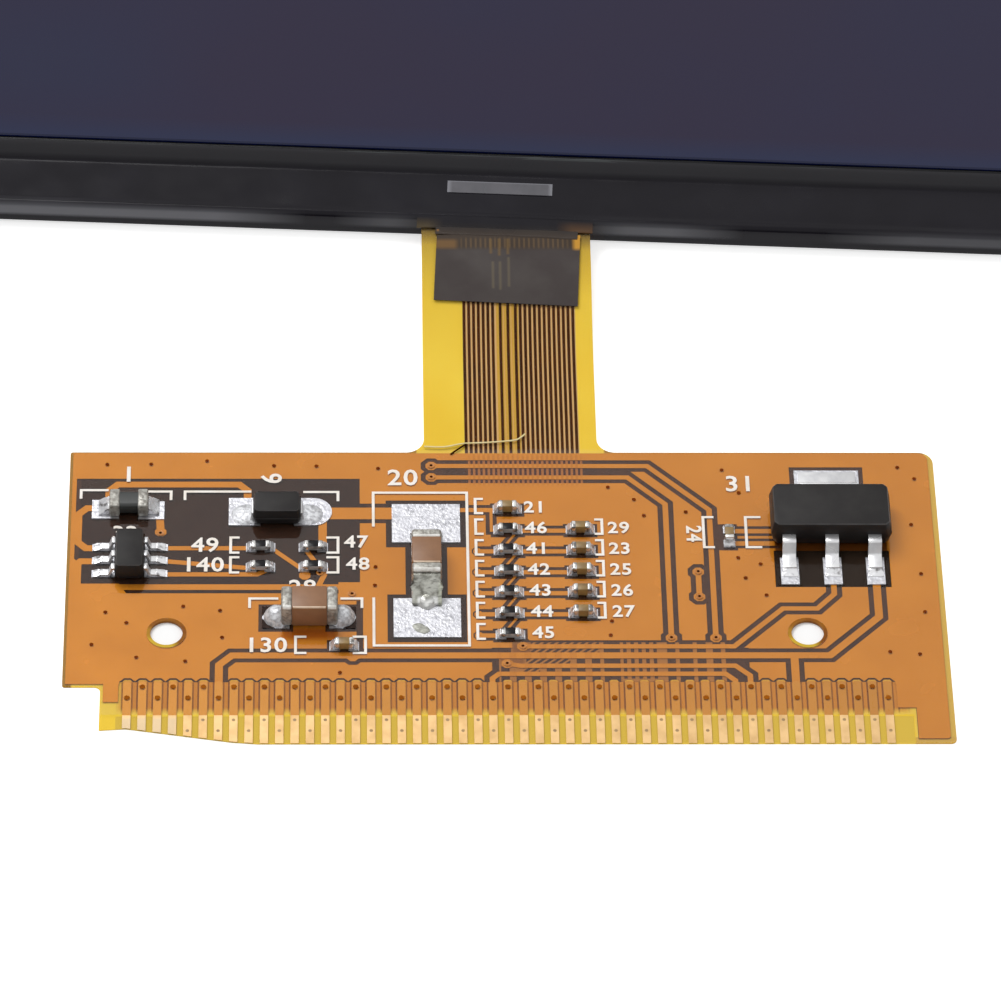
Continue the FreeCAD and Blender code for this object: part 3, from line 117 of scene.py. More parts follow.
def mottled_colour():
    """Two colours run into each other in soft patches."""
    group, start, end = effect_group("mottled colour", "Colour", "Color", Colour=(1, 1, 1, 1),
                                     Patch_colour=(0, 0, 0, 1), Scale=100.0, Start=0.4, Full=0.7)
    span = added(group, "MapRange", Value=noise_in(group, start["Scale"], 4), From_Min=start["Start"],
                 From_Max=start["Full"])
    mix = added(group, "Mix", {"data_type": "RGBA"}, Factor=span.outputs["Result"], A=start["Colour"],
                B=start["Patch colour"])
    group.links.new(mix.outputs["Result"], end)
    return group


def uneven_gloss():
    """Roughness that wanders between two levels."""
    group, start, end = effect_group("uneven gloss", "Roughness", "Float", Low=0.2, High=0.4, Scale=300.0)
    span = added(group, "MapRange", Value=noise_in(group, start["Scale"], 2), From_Min=0.3, From_Max=0.7,
                 To_Min=start["Low"], To_Max=start["High"])
    group.links.new(span.outputs["Result"], end)
    return group


def small_bumps():
    """A normal roughened by fine grain."""
    group, start, end = effect_group("small bumps", "Normal", "Vector", Scale=2000.0, Strength=0.3,
                                     Depth=0.00005)
    bump = added(group, "Bump", Height=noise_in(group, start["Scale"], 3), Strength=start["Strength"],
                 Distance=start["Depth"])
    group.links.new(bump.outputs["Normal"], end)
    return group


def inside_box():
    """A mask that is one inside a box, turned about the upright axis, with soft edges."""
    group, start, end = effect_group("inside box", "Mask", "Float", Left=-1.0, Right=1.0, Front=-1.0,
                                     Back=1.0, Low=-1.0, High=1.0, Soft=0.0001, Turn=0.0)
    turned = added(group, "VectorRotate", {"rotation_type": "Z_AXIS"}, Vector=place_in(group),
                   Angle=start["Turn"])
    place = added(group, "SeparateXYZ", Vector=turned.outputs["Vector"]).outputs
    sides = []
    for axis, low_side, high_side in (("X", "Left", "Right"), ("Y", "Front", "Back"), ("Z", "Low", "High")):
        for pair in ((place[axis], start[low_side]), (start[high_side], place[axis])):
            away = worked(group, "SUBTRACT", *pair)
            sides.append(worked(group, "DIVIDE", away, start["Soft"], clamp=True))
    mask = sides[0]
    for side in sides[1:]:
        mask = worked(group, "MULTIPLY", mask, side)
    group.links.new(mask, end)
    return group


def upright_stripes():
    """A mask of stripes that run along the board's depth, straight or leaning."""
    group, start, end = effect_group("upright stripes", "Mask", "Float", Pitch=0.0003, First=0.0,
                                     Share=0.5, Lean=0.0)
    place = added(group, "SeparateXYZ", Vector=place_in(group)).outputs
    across = worked(group, "MULTIPLY_ADD", place["Y"], start["Lean"], place["X"])
    away = worked(group, "SUBTRACT", across, start["First"])
    part = worked(group, "FRACT", worked(group, "DIVIDE", away, start["Pitch"]))
    group.links.new(worked(group, "LESS_THAN", part, start["Share"]), end)
    return group


MOTTLE = mottled_colour()
GLOSS = uneven_gloss()
BUMPS = small_bumps()
IN_BOX = inside_box()
STRIPES = upright_stripes()


# Finishes

def placed(finish, effect, **values):
    """A shared effect placed in a finish. Gives back its result."""
    return added(finish.node_tree, "Group", {"node_tree": effect}, **values).outputs[0]


def finish_of(name, colour, patch=None, scale=300.0, spread=(0.4, 0.7), gloss=(0.3, 0.4),
              gloss_scale=400.0, bumps=None, **plain):
    """A finish: soft colour patches, uneven gloss and, where asked, fine bumps (scale, strength, depth)."""
    finish = bpy.data.materials.new(name)
    finish.use_nodes = True
    patch = patch or [0.8 * part for part in colour]
    plain["Base_Color"] = placed(finish, MOTTLE, Colour=(*colour, 1), Patch_colour=(*patch, 1),
                                 Scale=scale, Start=spread[0], Full=spread[1])
    plain["Roughness"] = placed(finish, GLOSS, Low=gloss[0], High=gloss[1], Scale=gloss_scale)
    if bumps:
        plain["Normal"] = placed(finish, BUMPS, Scale=bumps[0], Strength=bumps[1], Depth=bumps[2])
    shader = finish.node_tree.nodes["Principled BSDF"]
    for socket, value in plain.items():
        feed(finish.node_tree, shader.inputs[socket.replace("_", " ")], value)
    return finish


def box_mask(finish, left, right, front, back, soft=0.1, low=-FAR, high=FAR, turn=0.0):
    """A box mask, its sides in mm."""
    return placed(finish, IN_BOX, Left=left * MM, Right=right * MM, Front=front * MM, Back=back * MM,
                  Low=low * MM, High=high * MM, Soft=soft * MM, Turn=turn)


def turned_place(x, y, turn):
    """Where a point lands when the board is turned about the upright axis."""
    return x * math.cos(turn) - y * math.sin(turn), x * math.sin(turn) + y * math.cos(turn)


def on_panel(left, right, front, back, soft=0.1, low=-FAR, high=FAR):
    """A box that lies with the panel, measured from the middle of the panel's front edge."""
    x, y = turned_place(PANEL_X, PANEL_Y, -PANEL_TURN)
    return left + x, right + x, front + y, back + y, soft, low, high, -PANEL_TURN


def corner_mask(finish, x, y, way_x, way_y, cut):
    """A mask of the corner at x, y cut off slantwise, where way_x and way_y point into the plate."""
    turn = math.radians(45)
    across, along = turned_place(x, y, turn)
    wide, soft = 50.0, 0.03
    if way_x == way_y:
        front, back = sorted((along - way_x * wide, along + way_x * cut))
        return box_mask(finish, across - wide, across + wide, front, back, soft, turn=turn)
    left, right = sorted((across - way_x * wide, across + way_x * cut))
    return box_mask(finish, left, right, along - wide, along + wide, soft, turn=turn)


def stripe_mask(finish, pitch, first, share, lean=0.0):
    """A stripe mask, in mm."""
    return placed(finish, STRIPES, Pitch=pitch * MM, First=first * MM, Share=share, Lean=lean)


def mask_of(finish, area):
    """The mask of an area, which is given by its box's sides or is a mask already."""
    return box_mask(finish, *area) if isinstance(area, tuple) else area


def both_masks(finish, one, other):
    """One where both areas are."""
    return worked(finish.node_tree, "MULTIPLY", mask_of(finish, one), mask_of(finish, other))


def less_where(finish, area, share):
    """One, and less by the share in the area."""
    return worked(finish.node_tree, "MULTIPLY_ADD", mask_of(finish, area), -share, 1)


def faces_front(finish):
    """One on a face seen from its front, nought from behind."""
    face = added(finish.node_tree, "NewGeometry")
    return worked(finish.node_tree, "SUBTRACT", 1, face.outputs["Backfacing"])


def tint(finish, area, colour, share=1.0):
    """Lays a colour over the finish's present one in an area, as thick as share."""
    tree = finish.node_tree
    amount = worked(tree, "MULTIPLY", mask_of(finish, area), share)
    base = tree.nodes["Principled BSDF"].inputs["Base Color"]
    mix = added(tree, "Mix", {"data_type": "RGBA"}, Factor=amount, A=base.links[0].from_socket,
                B=(*colour, 1))
    tree.links.new(mix.outputs["Result"], base)


def film_gloss():
    """The clear cover film: only its mirror-like skin shows, the layers below give the colour."""
    finish = finish_of("clear cover film", (1, 1, 1), (0.96, 0.96, 1), gloss=(0.05, 0.09), gloss_scale=90,
                       bumps=(160, 0.25, 0.0002), Metallic=1.0)
    tree = finish.node_tree
    edge = added(tree, "Fresnel", IOR=1.5).outputs["Fac"]
    clear = both_masks(finish, edge, faces_front(finish))
    for dull, share in (((-6, 7, TAIL_FOOT, 40, 0.3), 0.95), ((*REGULATOR_WINDOW, 0.05), 0.7)):
        clear = both_masks(finish, clear, less_where(finish, dull, share))
    tree.links.new(clear, tree.nodes["Principled BSDF"].inputs["Alpha"])
    return finish


MATT = {"Specular_IOR_Level": 0.0}
FINISHES = {
    "film_skin": film_gloss(),
    "thin_film": finish_of("thin base film", (0.55, 0.37, 0.24), Alpha=0.02, **MATT),
    "film_rim": finish_of(
        "film rim", (0.24, 0.075, 0.008), (0.34, 0.13, 0.012), 900, gloss=(0.2, 0.3),
        Specular_IOR_Level=0.12),
    "polarizer": finish_of(
        "dark polarizer", (0.006, 0.001, 0.027), (0.003, 0.002, 0.032), 45, gloss=(0.05, 0.1),
        Specular_IOR_Level=0.345),
    "glass": finish_of("panel glass", (0.030, 0.036, 0.038), gloss=(0.04, 0.08)),
    "seal_glue": finish_of("seal glue", (0.35, 0.32, 0.26)),
    "bare_die": finish_of("bare die", (0.095, 0.092, 0.105), (0.075, 0.074, 0.085), 900, gloss=(0.2, 0.35)),
    "black_coat": finish_of(
        "black coating", (0.003, 0.002, 0.005), (0.005, 0.004, 0.008), 250, gloss=(0.16, 0.28),
        Specular_IOR_Level=0.18),
    "coat_edge": finish_of(
        "thin coat edge", (0.016, 0.010, 0.008), (0.024, 0.015, 0.009), 900, gloss=(0.25, 0.4),
        Specular_IOR_Level=0.25),
    "bond_strip": finish_of("bonding strip", (0.03, 0.025, 0.02)),
    "yellow_film": finish_of(
        "yellow film", (0.93, 0.62, 0.055), (0.98, 0.70, 0.075), 140, gloss=(0.3, 0.4), **MATT),
    "dark_copper": finish_of("dark rear copper", (0.070, 0.024, 0.011), (0.045, 0.015, 0.008), 900, **MATT),
    "orange_copper": finish_of(
        "orange copper", (0.63, 0.233, 0.021), (0.585, 0.210, 0.017), 260, spread=(0.35, 0.65),
        gloss=(0.2, 0.28), Metallic=0.25, **MATT),
    "bare_orange": finish_of("orange land", (0.56, 0.20, 0.014), (0.50, 0.17, 0.010), 900, **MATT),
    "tail_line": finish_of("tail line", (0.060, 0.016, 0.003), (0.035, 0.011, 0.003), 500, **MATT),
    "via_brown": finish_of("brown ring", (0.20, 0.042, 0.010), (0.13, 0.026, 0.007), 2500, **MATT),
    "ring_brown": finish_of("thin brown ring", (0.36, 0.105, 0.010), (0.27, 0.072, 0.008), 2500, **MATT),
    "via_dark": finish_of("dark plated hole", (0.045, 0.010, 0.004), (0.025, 0.006, 0.003), 2500, **MATT),
    "finger_orange": finish_of("covered finger", (0.52, 0.185, 0.016), (0.45, 0.15, 0.012), 1500),
    "gold_contact": finish_of(
        "gilded contact", (0.80, 0.53, 0.25), (0.64, 0.40, 0.17), 900, gloss=(0.3, 0.45), Metallic=0.5,
        Specular_IOR_Level=0.2),
    "contact_brown": finish_of("embossed contact", (0.42, 0.26, 0.10), (0.30, 0.18, 0.07), 2500),
    "patch": finish_of(
        "tail patch", (0.040, 0.030, 0.028), (0.056, 0.046, 0.042), 500, gloss=(0.5, 0.65),
        Specular_IOR_Level=0.25),
    "clear_glue": finish_of("clear glue", (0.90, 0.76, 0.36), (0.95, 0.84, 0.5), 1500, gloss=(0.1, 0.2)),
    "white_print": finish_of("white print", (0.95, 0.90, 0.84), (0.86, 0.78, 0.68), 900, gloss=(0.5, 0.6)),
    "solder": finish_of(
        "tinned solder", (0.57, 0.57, 0.60), (0.38, 0.38, 0.41), 3600, spread=(0.45, 0.7),
        gloss=(0.25, 0.5), gloss_scale=1500, bumps=(5600, 0.45, 0.00006), Metallic=0.9),
    "bright_solder": finish_of(
        "fresh solder", (0.82, 0.82, 0.84), (0.20, 0.19, 0.19), 2600, spread=(0.55, 0.70), gloss=(0.1, 0.3),
        gloss_scale=1500, bumps=(3200, 0.6, 0.0001), Metallic=0.6),
    "calm_solder": finish_of(
        "calm solder", (0.76, 0.77, 0.79), (0.46, 0.46, 0.48), 5200, spread=(0.42, 0.62), gloss=(0.4, 0.55),
        bumps=(5200, 0.5, 0.00008), Metallic=0.45),
    "climbing_solder": finish_of(
        "climbing solder", (0.50, 0.50, 0.45), (0.17, 0.165, 0.14), 1700, spread=(0.45, 0.62),
        gloss=(0.2, 0.4), bumps=(1500, 0.9, 0.0002), Metallic=0.75),
    "tin_plate": finish_of(
        "tin plate", (0.82, 0.82, 0.83), (0.66, 0.66, 0.68), 1500, gloss=(0.22, 0.4), Metallic=0.65),
    "cap_metal": finish_of(
        "end cap metal", (0.72, 0.71, 0.69), (0.20, 0.19, 0.18), 2300, spread=(0.46, 0.62),
        gloss=(0.15, 0.35), bumps=(3000, 0.4, 0.00006), Metallic=0.75),
    "large_cap": finish_of(
        "large end cap", (0.44, 0.43, 0.39), (0.25, 0.235, 0.21), 4200, spread=(0.42, 0.6),
        gloss=(0.35, 0.5), bumps=(4200, 0.6, 0.0001), Metallic=0.4),
    # Painted highlight on the rounded edge between an end cap's top and its front.
    "cap_edge_highlight": finish_of(
        "painted highlight on cap edge", (0.97, 0.96, 0.92), (0.66, 0.64, 0.58), 2500, gloss=(0.2, 0.3)),
    "package_black": finish_of(
        "moulded black", (0.012, 0.010, 0.010), (0.018, 0.016, 0.015), 900, gloss=(0.42, 0.58),
        bumps=(6000, 0.2, 0.00003), Specular_IOR_Level=0.25),
    # Painted highlight on the rounded top edges and seams of moulded bodies.
    "moulded_edge_highlight": finish_of(
        "painted highlight on moulded edge", (0.055, 0.052, 0.052), (0.030, 0.028, 0.028), 1500, gloss=(0.35, 0.5)),
    "ferrite": finish_of("ferrite", (0.030, 0.033, 0.031), (0.020, 0.022, 0.021), 900),
    "resistor_glaze": finish_of(
        "resistor glaze", (0.006, 0.005, 0.006), gloss=(0.2, 0.3), Specular_IOR_Level=0.2),
    "chip_side": finish_of("chip side", (0.42, 0.41, 0.40), (0.16, 0.15, 0.14), 2200, gloss=(0.3, 0.4)),
    "small_ceramic": finish_of(
        "olive ceramic", (0.30, 0.19, 0.062), (0.20, 0.12, 0.045), 2200, gloss=(0.3, 0.45)),
    "capacitor_ceramic": finish_of(
        "brown ceramic", (0.28, 0.135, 0.062), (0.235, 0.112, 0.052), 1500, gloss=(0.35, 0.5)),
    # Painted highlight on the rounded edge between the ceramic's top and its front.
    "ceramic_edge_highlight": finish_of(
        "painted highlight on ceramic edge", (0.80, 0.62, 0.46), (0.62, 0.44, 0.30), 2500, gloss=(0.2, 0.3)),
}


# Colours that differ from place to place on one layer

def film_tints(film):
    """Yellow film: on the tail, the painted shadow of its lines between them and painted shade near the
    ledge; the board's margins and the contacts.
    """
    margin = (0.40, 0.20, 0.016)
    # Tan between the tail's lines: painted shadow of the lines cast on the table, seen through the film.
    tint(film, (-2.05, 4.25, TAIL_FOOT, 38.0, 0.05), (0.73, 0.43, 0.17))
    for x in (0.24, 0.66, 1.08):
        tint(film, (x - 0.42, x, TAIL_FOOT, 38.0, 0.03), (0.64, 0.36, 0.055))
    # Painted shade on the tail towards the ledge.
    tint(film, (-9, 10, 32, 45, 4.5), (0.45, 0.29, 0.045), 0.9)
    tint(film, (-5, -2.05, 19, 27, 2.5), (0.88, 0.50, 0.012), 0.5)
    tint(film, on_panel(-7, 7, -2.0, 2, 1.3), (0.115, 0.078, 0.034), 0.95)
    for left, right, front, back, colour in (
            (-24, -22.9, 3.0, 22, margin), (-24, -4.6, 20.5, 22, margin), (5.5, 24, 20.5, 22, margin),
            (22.9, 24, 0, 22, (0.74, 0.46, 0.065)), (21.2, 24, -1, 0.5, (0.68, 0.40, 0.06))):
        tint(film, (left, right, front, back), colour)
    covered = (-20.6, 21.3, 2.05, 4.7, 0.45)
    tint(film, covered, (0.65, 0.225, 0.012))
    for first, share in ((-20.31, 0.9), (-19.78, 0.6)):
        sides = both_masks(film, covered, stripe_mask(film, CONTACT_PITCH, first, 0.11))
        tint(film, sides, (0.20, 0.052, 0.002), share)
    tint(film, (-20.6, 21.3, 0.0, COVER_EDGE, 0.05), (0.74, 0.51, 0.075))


def rim_tints(rim):
    """Film rims: light on the left and the near side of each hole."""
    for x, y in HOLES:
        tint(rim, (x - 2, x + 0.7, y - 2, y - 0.1, 0.4), (0.68, 0.46, 0.04), 0.9)
        tint(rim, (x - 2, x - 0.3, y - 0.5, y + 0.5, 0.3), (0.55, 0.30, 0.03), 0.6)


def ribs_of_tail_lines(finish, back, soft):
    """A mask of the tail's lines where they run on over the board."""
    area = (*TAIL_LINES, TAIL_LINES_END, back, soft)
    return both_masks(finish, area, stripe_mask(finish, TAIL_LINE_PITCH, FIRST_TAIL_LINE, 0.5))


def rear_tints(rear):
    """Rear copper: dark in the windows of the front copper, with painted shade in the regulator's window,
    ribbed where the tail's lines run on.
    """
    window = (0.020, 0.006, 0.004)
    tint(rear, (-22.85, -7.3, 10.1, 19.3), window, 0.85)
    tint(rear, (-6.4, -2.0, 7.0, 17.4), window, 0.85)
    # Painted shade in the window in front of the regulator.
    tint(rear, (*REGULATOR_WINDOW, 0.05), (0.007, 0.003, 0.002))
    tint(rear, (*TAIL_LINES, TAIL_LINES_END, 21.0, 0.2), (0.075, 0.018, 0.008))
    tint(rear, ribs_of_tail_lines(rear, 21.0, 0.1), (0.42, 0.14, 0.027), 0.95)


def rear_strips(rear):
    """Rear copper strips that cross under the line bundle, upright and slanted, with dark gaps between."""
    for left, front, back in ((-0.45, 4.2, 6.2), (0.2, 6.2, 7.1)):
        tint(rear, (left, 11.58, front, back, 0.04), (0.44, 0.165, 0.029), 0.95)
    for left, right, front, back in ((-0.45, 1.0, 5.4, 6.0), (0.2, 1.4, 6.2, 7.1)):
        tint(rear, (left, right, front, back, 0.2), (0.23, 0.070, 0.012), 0.8)
    wide = stripe_mask(rear, CONTACT_PITCH, -0.33, 0.56)
    slanted = stripe_mask(rear, CONTACT_PITCH / 2, -0.15, 0.56, -1.15)
    narrow = stripe_mask(rear, CONTACT_PITCH / 2, 6.15, 0.46)
    gap = (0.064, 0.022, 0.011)
    for left, right, front, back, stripes in (
            (-0.5, 5.0, 4.2, 4.8, wide), (-0.5, 0.2, 4.8, 5.4, wide), (2.0, 5.0, 4.8, 5.4, wide),
            (3.4, 5.0, 5.4, 6.2, wide), (0.83, 1.75, 4.8, 5.4, slanted), (0.99, 3.35, 5.4, 6.2, slanted),
            (1.25, 4.9, 6.2, 7.1, slanted), (6.1, 8.0, 4.5, 7.1, narrow)):
        tint(rear, both_masks(rear, (left, right, front, back, 0.03), stripes), gap)
    for left, right in ((5.10, 6.00), (8.46, 8.93), (9.11, 9.86), (10.04, 10.55), (10.88, 11.34)):
        tint(rear, (left, right, 4.2, 7.1, 0.03), gap)


def copper_tints(copper):
    """Front copper: shade at the regulator and the boost capacitor, faint ribs of the lines below."""
    tint(copper, (14.5, 20.6, 13.55, 14.5, 0.08), (0.10, 0.022, 0.005), 0.85)
    tint(copper, (-12.1, -8.8, 7.1, 8.2, 0.35), (0.42, 0.085, 0.004), 0.75)
    rib = (0.42, 0.135, 0.010)
    tint(copper, ribs_of_tail_lines(copper, TAIL_FOOT, 0.3), rib, 0.5)
    lower = stripe_mask(copper, CONTACT_PITCH, 0.11, 0.475)
    tint(copper, both_masks(copper, (-0.6, 5.2, 4.2, 7.1, 0.3), lower), rib, 0.3)


def contact_tints(gold):
    """Contact fingers: orange below the cover film, dull at the worn left end."""
    tint(gold, (-21, 21, COVER_EDGE, 5, 0.02), (0.50, 0.20, 0.016))
    tint(gold, (-21, -17.2, 0.2, COVER_EDGE, 0.3), (0.50, 0.42, 0.30), 0.6)


def patch_tints(patch):
    """Tail patch: darker at the ledge, with streaks of the lines below it and light at its corners."""
    tint(patch, (-5, 6, 35.1, 38, 0.35), (0.034, 0.020, 0.011))
    lines = stripe_mask(patch, 0.27, -2.1, 0.42)
    streaks = both_masks(patch, (-2.2, 4.05, 35.2, 36.2, 0.25), lines)
    tint(patch, streaks, (0.12, 0.070, 0.028), 0.55)
    tint(patch, (-3.7, -2.15, 35.15, 36.1, 0.3), (0.17, 0.085, 0.022), 0.75)
    tint(patch, (4.1, 5, 35.1, 37, 0.25), (0.75, 0.36, 0.03), 0.7)
    for middle, front, back in ((-0.40, 34.85, 36.1), (0.07, 34.7, 36.1), (0.55, 34.8, 36.1)):
        tint(patch, (middle - 0.13, middle + 0.13, front, back, 0.12), (0.16, 0.09, 0.022), 0.6)
    for middle, front, back in ((-0.30, 32.5, 34.4), (0.10, 32.4, 34.4), (0.58, 32.6, 34.7)):
        tint(patch, (middle - 0.12, middle + 0.12, front, back), (0.125, 0.098, 0.06), 0.6)


def die_tints(die):
    """Driver chip: its ends and its far side catch the light."""
    light = (0.20, 0.20, 0.225)
    for left, right in ((-4, -2.9), (2.45, 4)):
        tint(die, on_panel(left, right, 0, 6, 0.2), light, 0.8)
    tint(die, on_panel(-4, 4, 2.84, 6, 0.08), light, 0.7)


def pad_tints(pads):
    """Pads of the boost capacitor: their corners are cut off slantwise."""
    for x, way in ((-12.95, 1), (-7.98, -1)):
        side = (*sorted((x - way, x + 0.9 * way)), 7.5, 10, 0.02)
        for y, way_y in ((9.55, -1), (8.0, 1)):
            cut = corner_mask(pads, x, y, way, way_y, 0.5)
            tint(pads, both_masks(pads, side, cut), (0.02, 0.012, 0.01))


def drop_tints(drop):
    """The lone solder drop on the tank capacitor's front pad is duller than the heaps."""
    tint(drop, (-5.4, -3.7, 7.3, 8.6, 0.02), (0.36, 0.36, 0.31), 0.9)


def climb_tints(climb):
    """Solder ahead of the tank capacitor: painted highlights at its foot and on its right."""
    tint(climb, (-4.75, -3.55, 9.2, 10.35, 0.12, -1, 0.62), (0.92, 0.92, 0.90), 0.85)
    tint(climb, (-3.65, -3.0, 9.2, 11, 0.15, -1, 1.2), (0.62, 0.64, 0.52), 0.7)


def coat_tints(coat):
    """Ledge coat: painted highlight along its rounded front, painted light on its climb and a painted
    shadow at its top under the polarizer, brown at the tail.
    """
    side = 60
    # Painted highlight along the rounded front, strong at some stretches of the ledge and faint at others.
    rise = on_panel(-side, side, -2, 0.6, 0.25, 0.62, 1.56)
    for left, right, fade, share in ((-side, -11, 5.0, 0.9), (-9.5, -3.0, 3.0, 0.5), (3.0, 13.5, 4.0, 0.75),
                                     (18.0, side, 5.0, 0.5)):
        lip_highlight_mask = both_masks(coat, rise, on_panel(left, right, -9, 9, fade))
        tint(coat, lip_highlight_mask, (0.15, 0.15, 0.165), share)
    # Painted light on the climb to the front glass.
    tint(coat, on_panel(-side, side, 3.55, 6, 0.2), (0.030, 0.029, 0.033), 0.95)
    # Painted shadow under the polarizer's edge.
    tint(coat, on_panel(-side, side, 4.17, 6, 0.05), (0.002, 0.002, 0.003))
    for left, right, back, colour in ((-5.6, -3.3, 0.0, (0.075, 0.052, 0.022)),
                                      (3.0, 5.9, 0.05, (0.100, 0.048, 0.018)),
                                      (-4.2, 4.2, -0.3, (0.014, 0.010, 0.008))):
        tint(coat, on_panel(left, right, -3, back, 0.85), colour, 0.9)


def edge_tints(edge):
    """Run-out of the coat: a painted highlight at the patch's left corner, and brown where it thins."""
    # Painted highlight at the patch's left corner.
    tint(edge, (-3.43, -3.24, 35.5, 36.75, 0.06), (0.55, 0.25, 0.05))
    tint(edge, on_panel(-6, 6, -3, -0.8, 0.35), (0.032, 0.020, 0.013))


def polarizer_tints(dark):
    """Polarizer: painted reflection, bluer at its lower left and along its lower edge."""
    tint(dark, on_panel(-60, -17, 4, 16, 7), (0.002, 0.005, 0.037), 0.8)
    tint(dark, on_panel(-60, 60, 3, 6.2, 1.5), (0.001, 0.006, 0.044), 0.9)


for layer, lay in (
        ("yellow_film", film_tints), ("film_rim", rim_tints), ("dark_copper", rear_tints),
        ("dark_copper", rear_strips), ("orange_copper", copper_tints), ("gold_contact", contact_tints),
        ("patch", patch_tints), ("bare_die", die_tints), ("solder", pad_tints), ("calm_solder", drop_tints),
        ("climbing_solder", climb_tints), ("black_coat", coat_tints), ("coat_edge", edge_tints),
        ("polarizer", polarizer_tints)):
    lay(FINISHES[layer])


def dressed(piece, finish):
    """Gives a piece one finish."""
    piece.data.materials.clear()
    piece.data.materials.append(FINISHES[finish])


def dress_frame():
    """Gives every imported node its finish."""
    own = {"hole_rims": "film_rim", "tail_traces": "tail_line"}
    for entry in frame["record"]["subparts"]:
        node, slot = entry["node"], entry["material_slot"]
        finish = own.get(node, "film_skin" if slot == "clear_film" else slot)
        dressed(nodes[node], finish)


# Modelling, in mm

def choose(*pieces):
    """Selects these pieces alone and makes the first of them the active one."""
    if bpy.context.object and bpy.context.object.mode != "OBJECT":
        bpy.ops.object.mode_set(mode="OBJECT")
    bpy.ops.object.select_all(action="DESELECT")
    for piece in pieces:
        piece.select_set(True)
    if pieces:
        bpy.context.view_layer.objects.active = pieces[0]


def take_up(name):
    """Names the shape just added and applies its place."""
    piece = bpy.context.object
    piece.name = piece.data.name = name
    bpy.ops.object.transform_apply(location=True, rotation=True, scale=True)
    return piece


def start_block(name, low, high):
    """A block between two corners."""
    choose()
    low, high = Vector(low), Vector(high)
    bpy.ops.mesh.primitive_cube_add(size=1, location=(low + high) / 2)
    bpy.context.object.scale = high - low
    return take_up(name)


def pick(piece, kind, test):
    """Goes into edit mode with only the faces (centre, normal) or edges (middle, direction) that pass."""
    choose(piece)
    bpy.ops.object.mode_set(mode="EDIT")
    bpy.ops.mesh.select_mode(type=kind)
    bpy.ops.mesh.select_all(action="DESELECT")
    bpy.ops.object.mode_set(mode="OBJECT")
    mesh = piece.data
    if kind == "FACE":
        for face in mesh.polygons:
            face.select = bool(test(face.center, face.normal))
    else:
        for edge in mesh.edges:
            start, end = (mesh.vertices[i].co for i in edge.vertices)
            edge.select = bool(test((start + end) / 2, (end - start).normalized()))
    bpy.ops.object.mode_set(mode="EDIT")


def everything(*_):
    """The test that every face or edge passes."""
    return True


def shaped(piece, kind, test, step, **values):
    """Runs one modelling step on the faces or edges that pass."""
    pick(piece, kind, test)
    step(**values)
    bpy.ops.object.mode_set(mode="OBJECT")


def bevel_edges(piece, width, steps=2, test=everything, profile=0.5):
    """Rounds the edges that pass."""
    shaped(piece, "EDGE", test, bpy.ops.mesh.bevel, offset=width, segments=steps, profile=profile,
           affect="EDGES")


def apply_modifier(piece, kind, **settings):
    """Adds a modifier, sets it and applies it."""
    choose(piece)
    step = piece.modifiers.new(kind.lower(), kind)
    for setting, value in settings.items():
        setattr(step, setting, value)
    bpy.ops.object.modifier_apply(modifier=step.name)


def round_by_angle(piece, width, segments, angle):
    """Rounds every edge that turns by more than an angle in degrees."""
    apply_modifier(piece, "BEVEL", width=width, segments=segments, limit_method="ANGLE",
                   angle_limit=math.radians(angle))


def lumpy(piece, name, size, strength, **settings):
    """Pushes a surface about by soft clouds of one size."""
    clouds = bpy.data.textures.new(name, "CLOUDS")
    clouds.noise_scale = size
    apply_modifier(piece, "DISPLACE", texture=clouds, texture_coords="LOCAL", strength=strength,
                   mid_level=0.5, **settings)


def extrude_along(path):
    """Draws the picked edges on from point to point of a path (y, z), then turns all faces one way."""
    for (y_from, z_from), (y_to, z_to) in zip(path, path[1:]):
        way = (0, y_to - y_from, z_to - z_from)
        bpy.ops.mesh.extrude_region_move(TRANSFORM_OT_translate={"value": way})
    bpy.ops.mesh.select_all(action="SELECT")
    bpy.ops.mesh.normals_make_consistent(inside=False)
    bpy.ops.object.mode_set(mode="OBJECT")


def face_up(piece):
    """Turns a sheet's faces over where they look down."""
    if sum(face.normal.z for face in piece.data.polygons) < 0:
        piece.data.flip_normals()


def move_to(x, y, z, turn=0.0):
    """The move of a mesh that is turned about the upright axis, in degrees, and then shifted."""
    return Matrix.Translation((x, y, z)) @ Matrix.Rotation(math.radians(turn), 4, "Z")


def copied(piece, name, x=0.0, y=0.0, z=0.0, turn=0.0):
    """A copy with its own mesh, turned about the upright axis and then moved."""
    copy = piece.copy()
    copy.data = piece.data.copy()
    copy.name = copy.data.name = name
    bpy.context.scene.collection.objects.link(copy)
    copy.data.transform(move_to(x, y, z, turn))
    return copy


def joined(pieces, name):
    """Several pieces made one."""
    choose(*pieces)
    bpy.ops.object.join()
    piece = bpy.context.object
    piece.name = piece.data.name = name
    return piece


def discard(*pieces):
    """Takes away patterns that have been copied."""
    for piece in pieces:
        bpy.data.objects.remove(piece, do_unlink=True)


def spread(pattern, places, level=PARTS):
    """Copies of a pattern at places (x, y and, where asked, the turn). The pattern itself goes."""
    copies = [copied(pattern, "copy", x, y, level, *turn) for x, y, *turn in places]
    discard(pattern)
    return copies


def settle(piece, finish, slot, *stands_for, smooth=35):
    """Brings a piece from mm to metres, dresses it and puts it on the part."""
    choose(piece)
    piece.scale = (MM, MM, MM)
    bpy.ops.object.transform_apply(location=True, rotation=True, scale=True)
    if smooth:
        bpy.ops.object.shade_smooth_by_angle(angle=math.radians(smooth))
    dressed(piece, finish)
    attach(piece, "root")
    if stands_for:
        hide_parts(*stands_for)
    return piece


def second_finish(piece, finish, test):
    """Gives the faces that pass the test another finish."""
    piece.data.materials.append(FINISHES[finish])
    for face in piece.data.polygons:
        if test(face):
            face.material_index = len(piece.data.materials) - 1


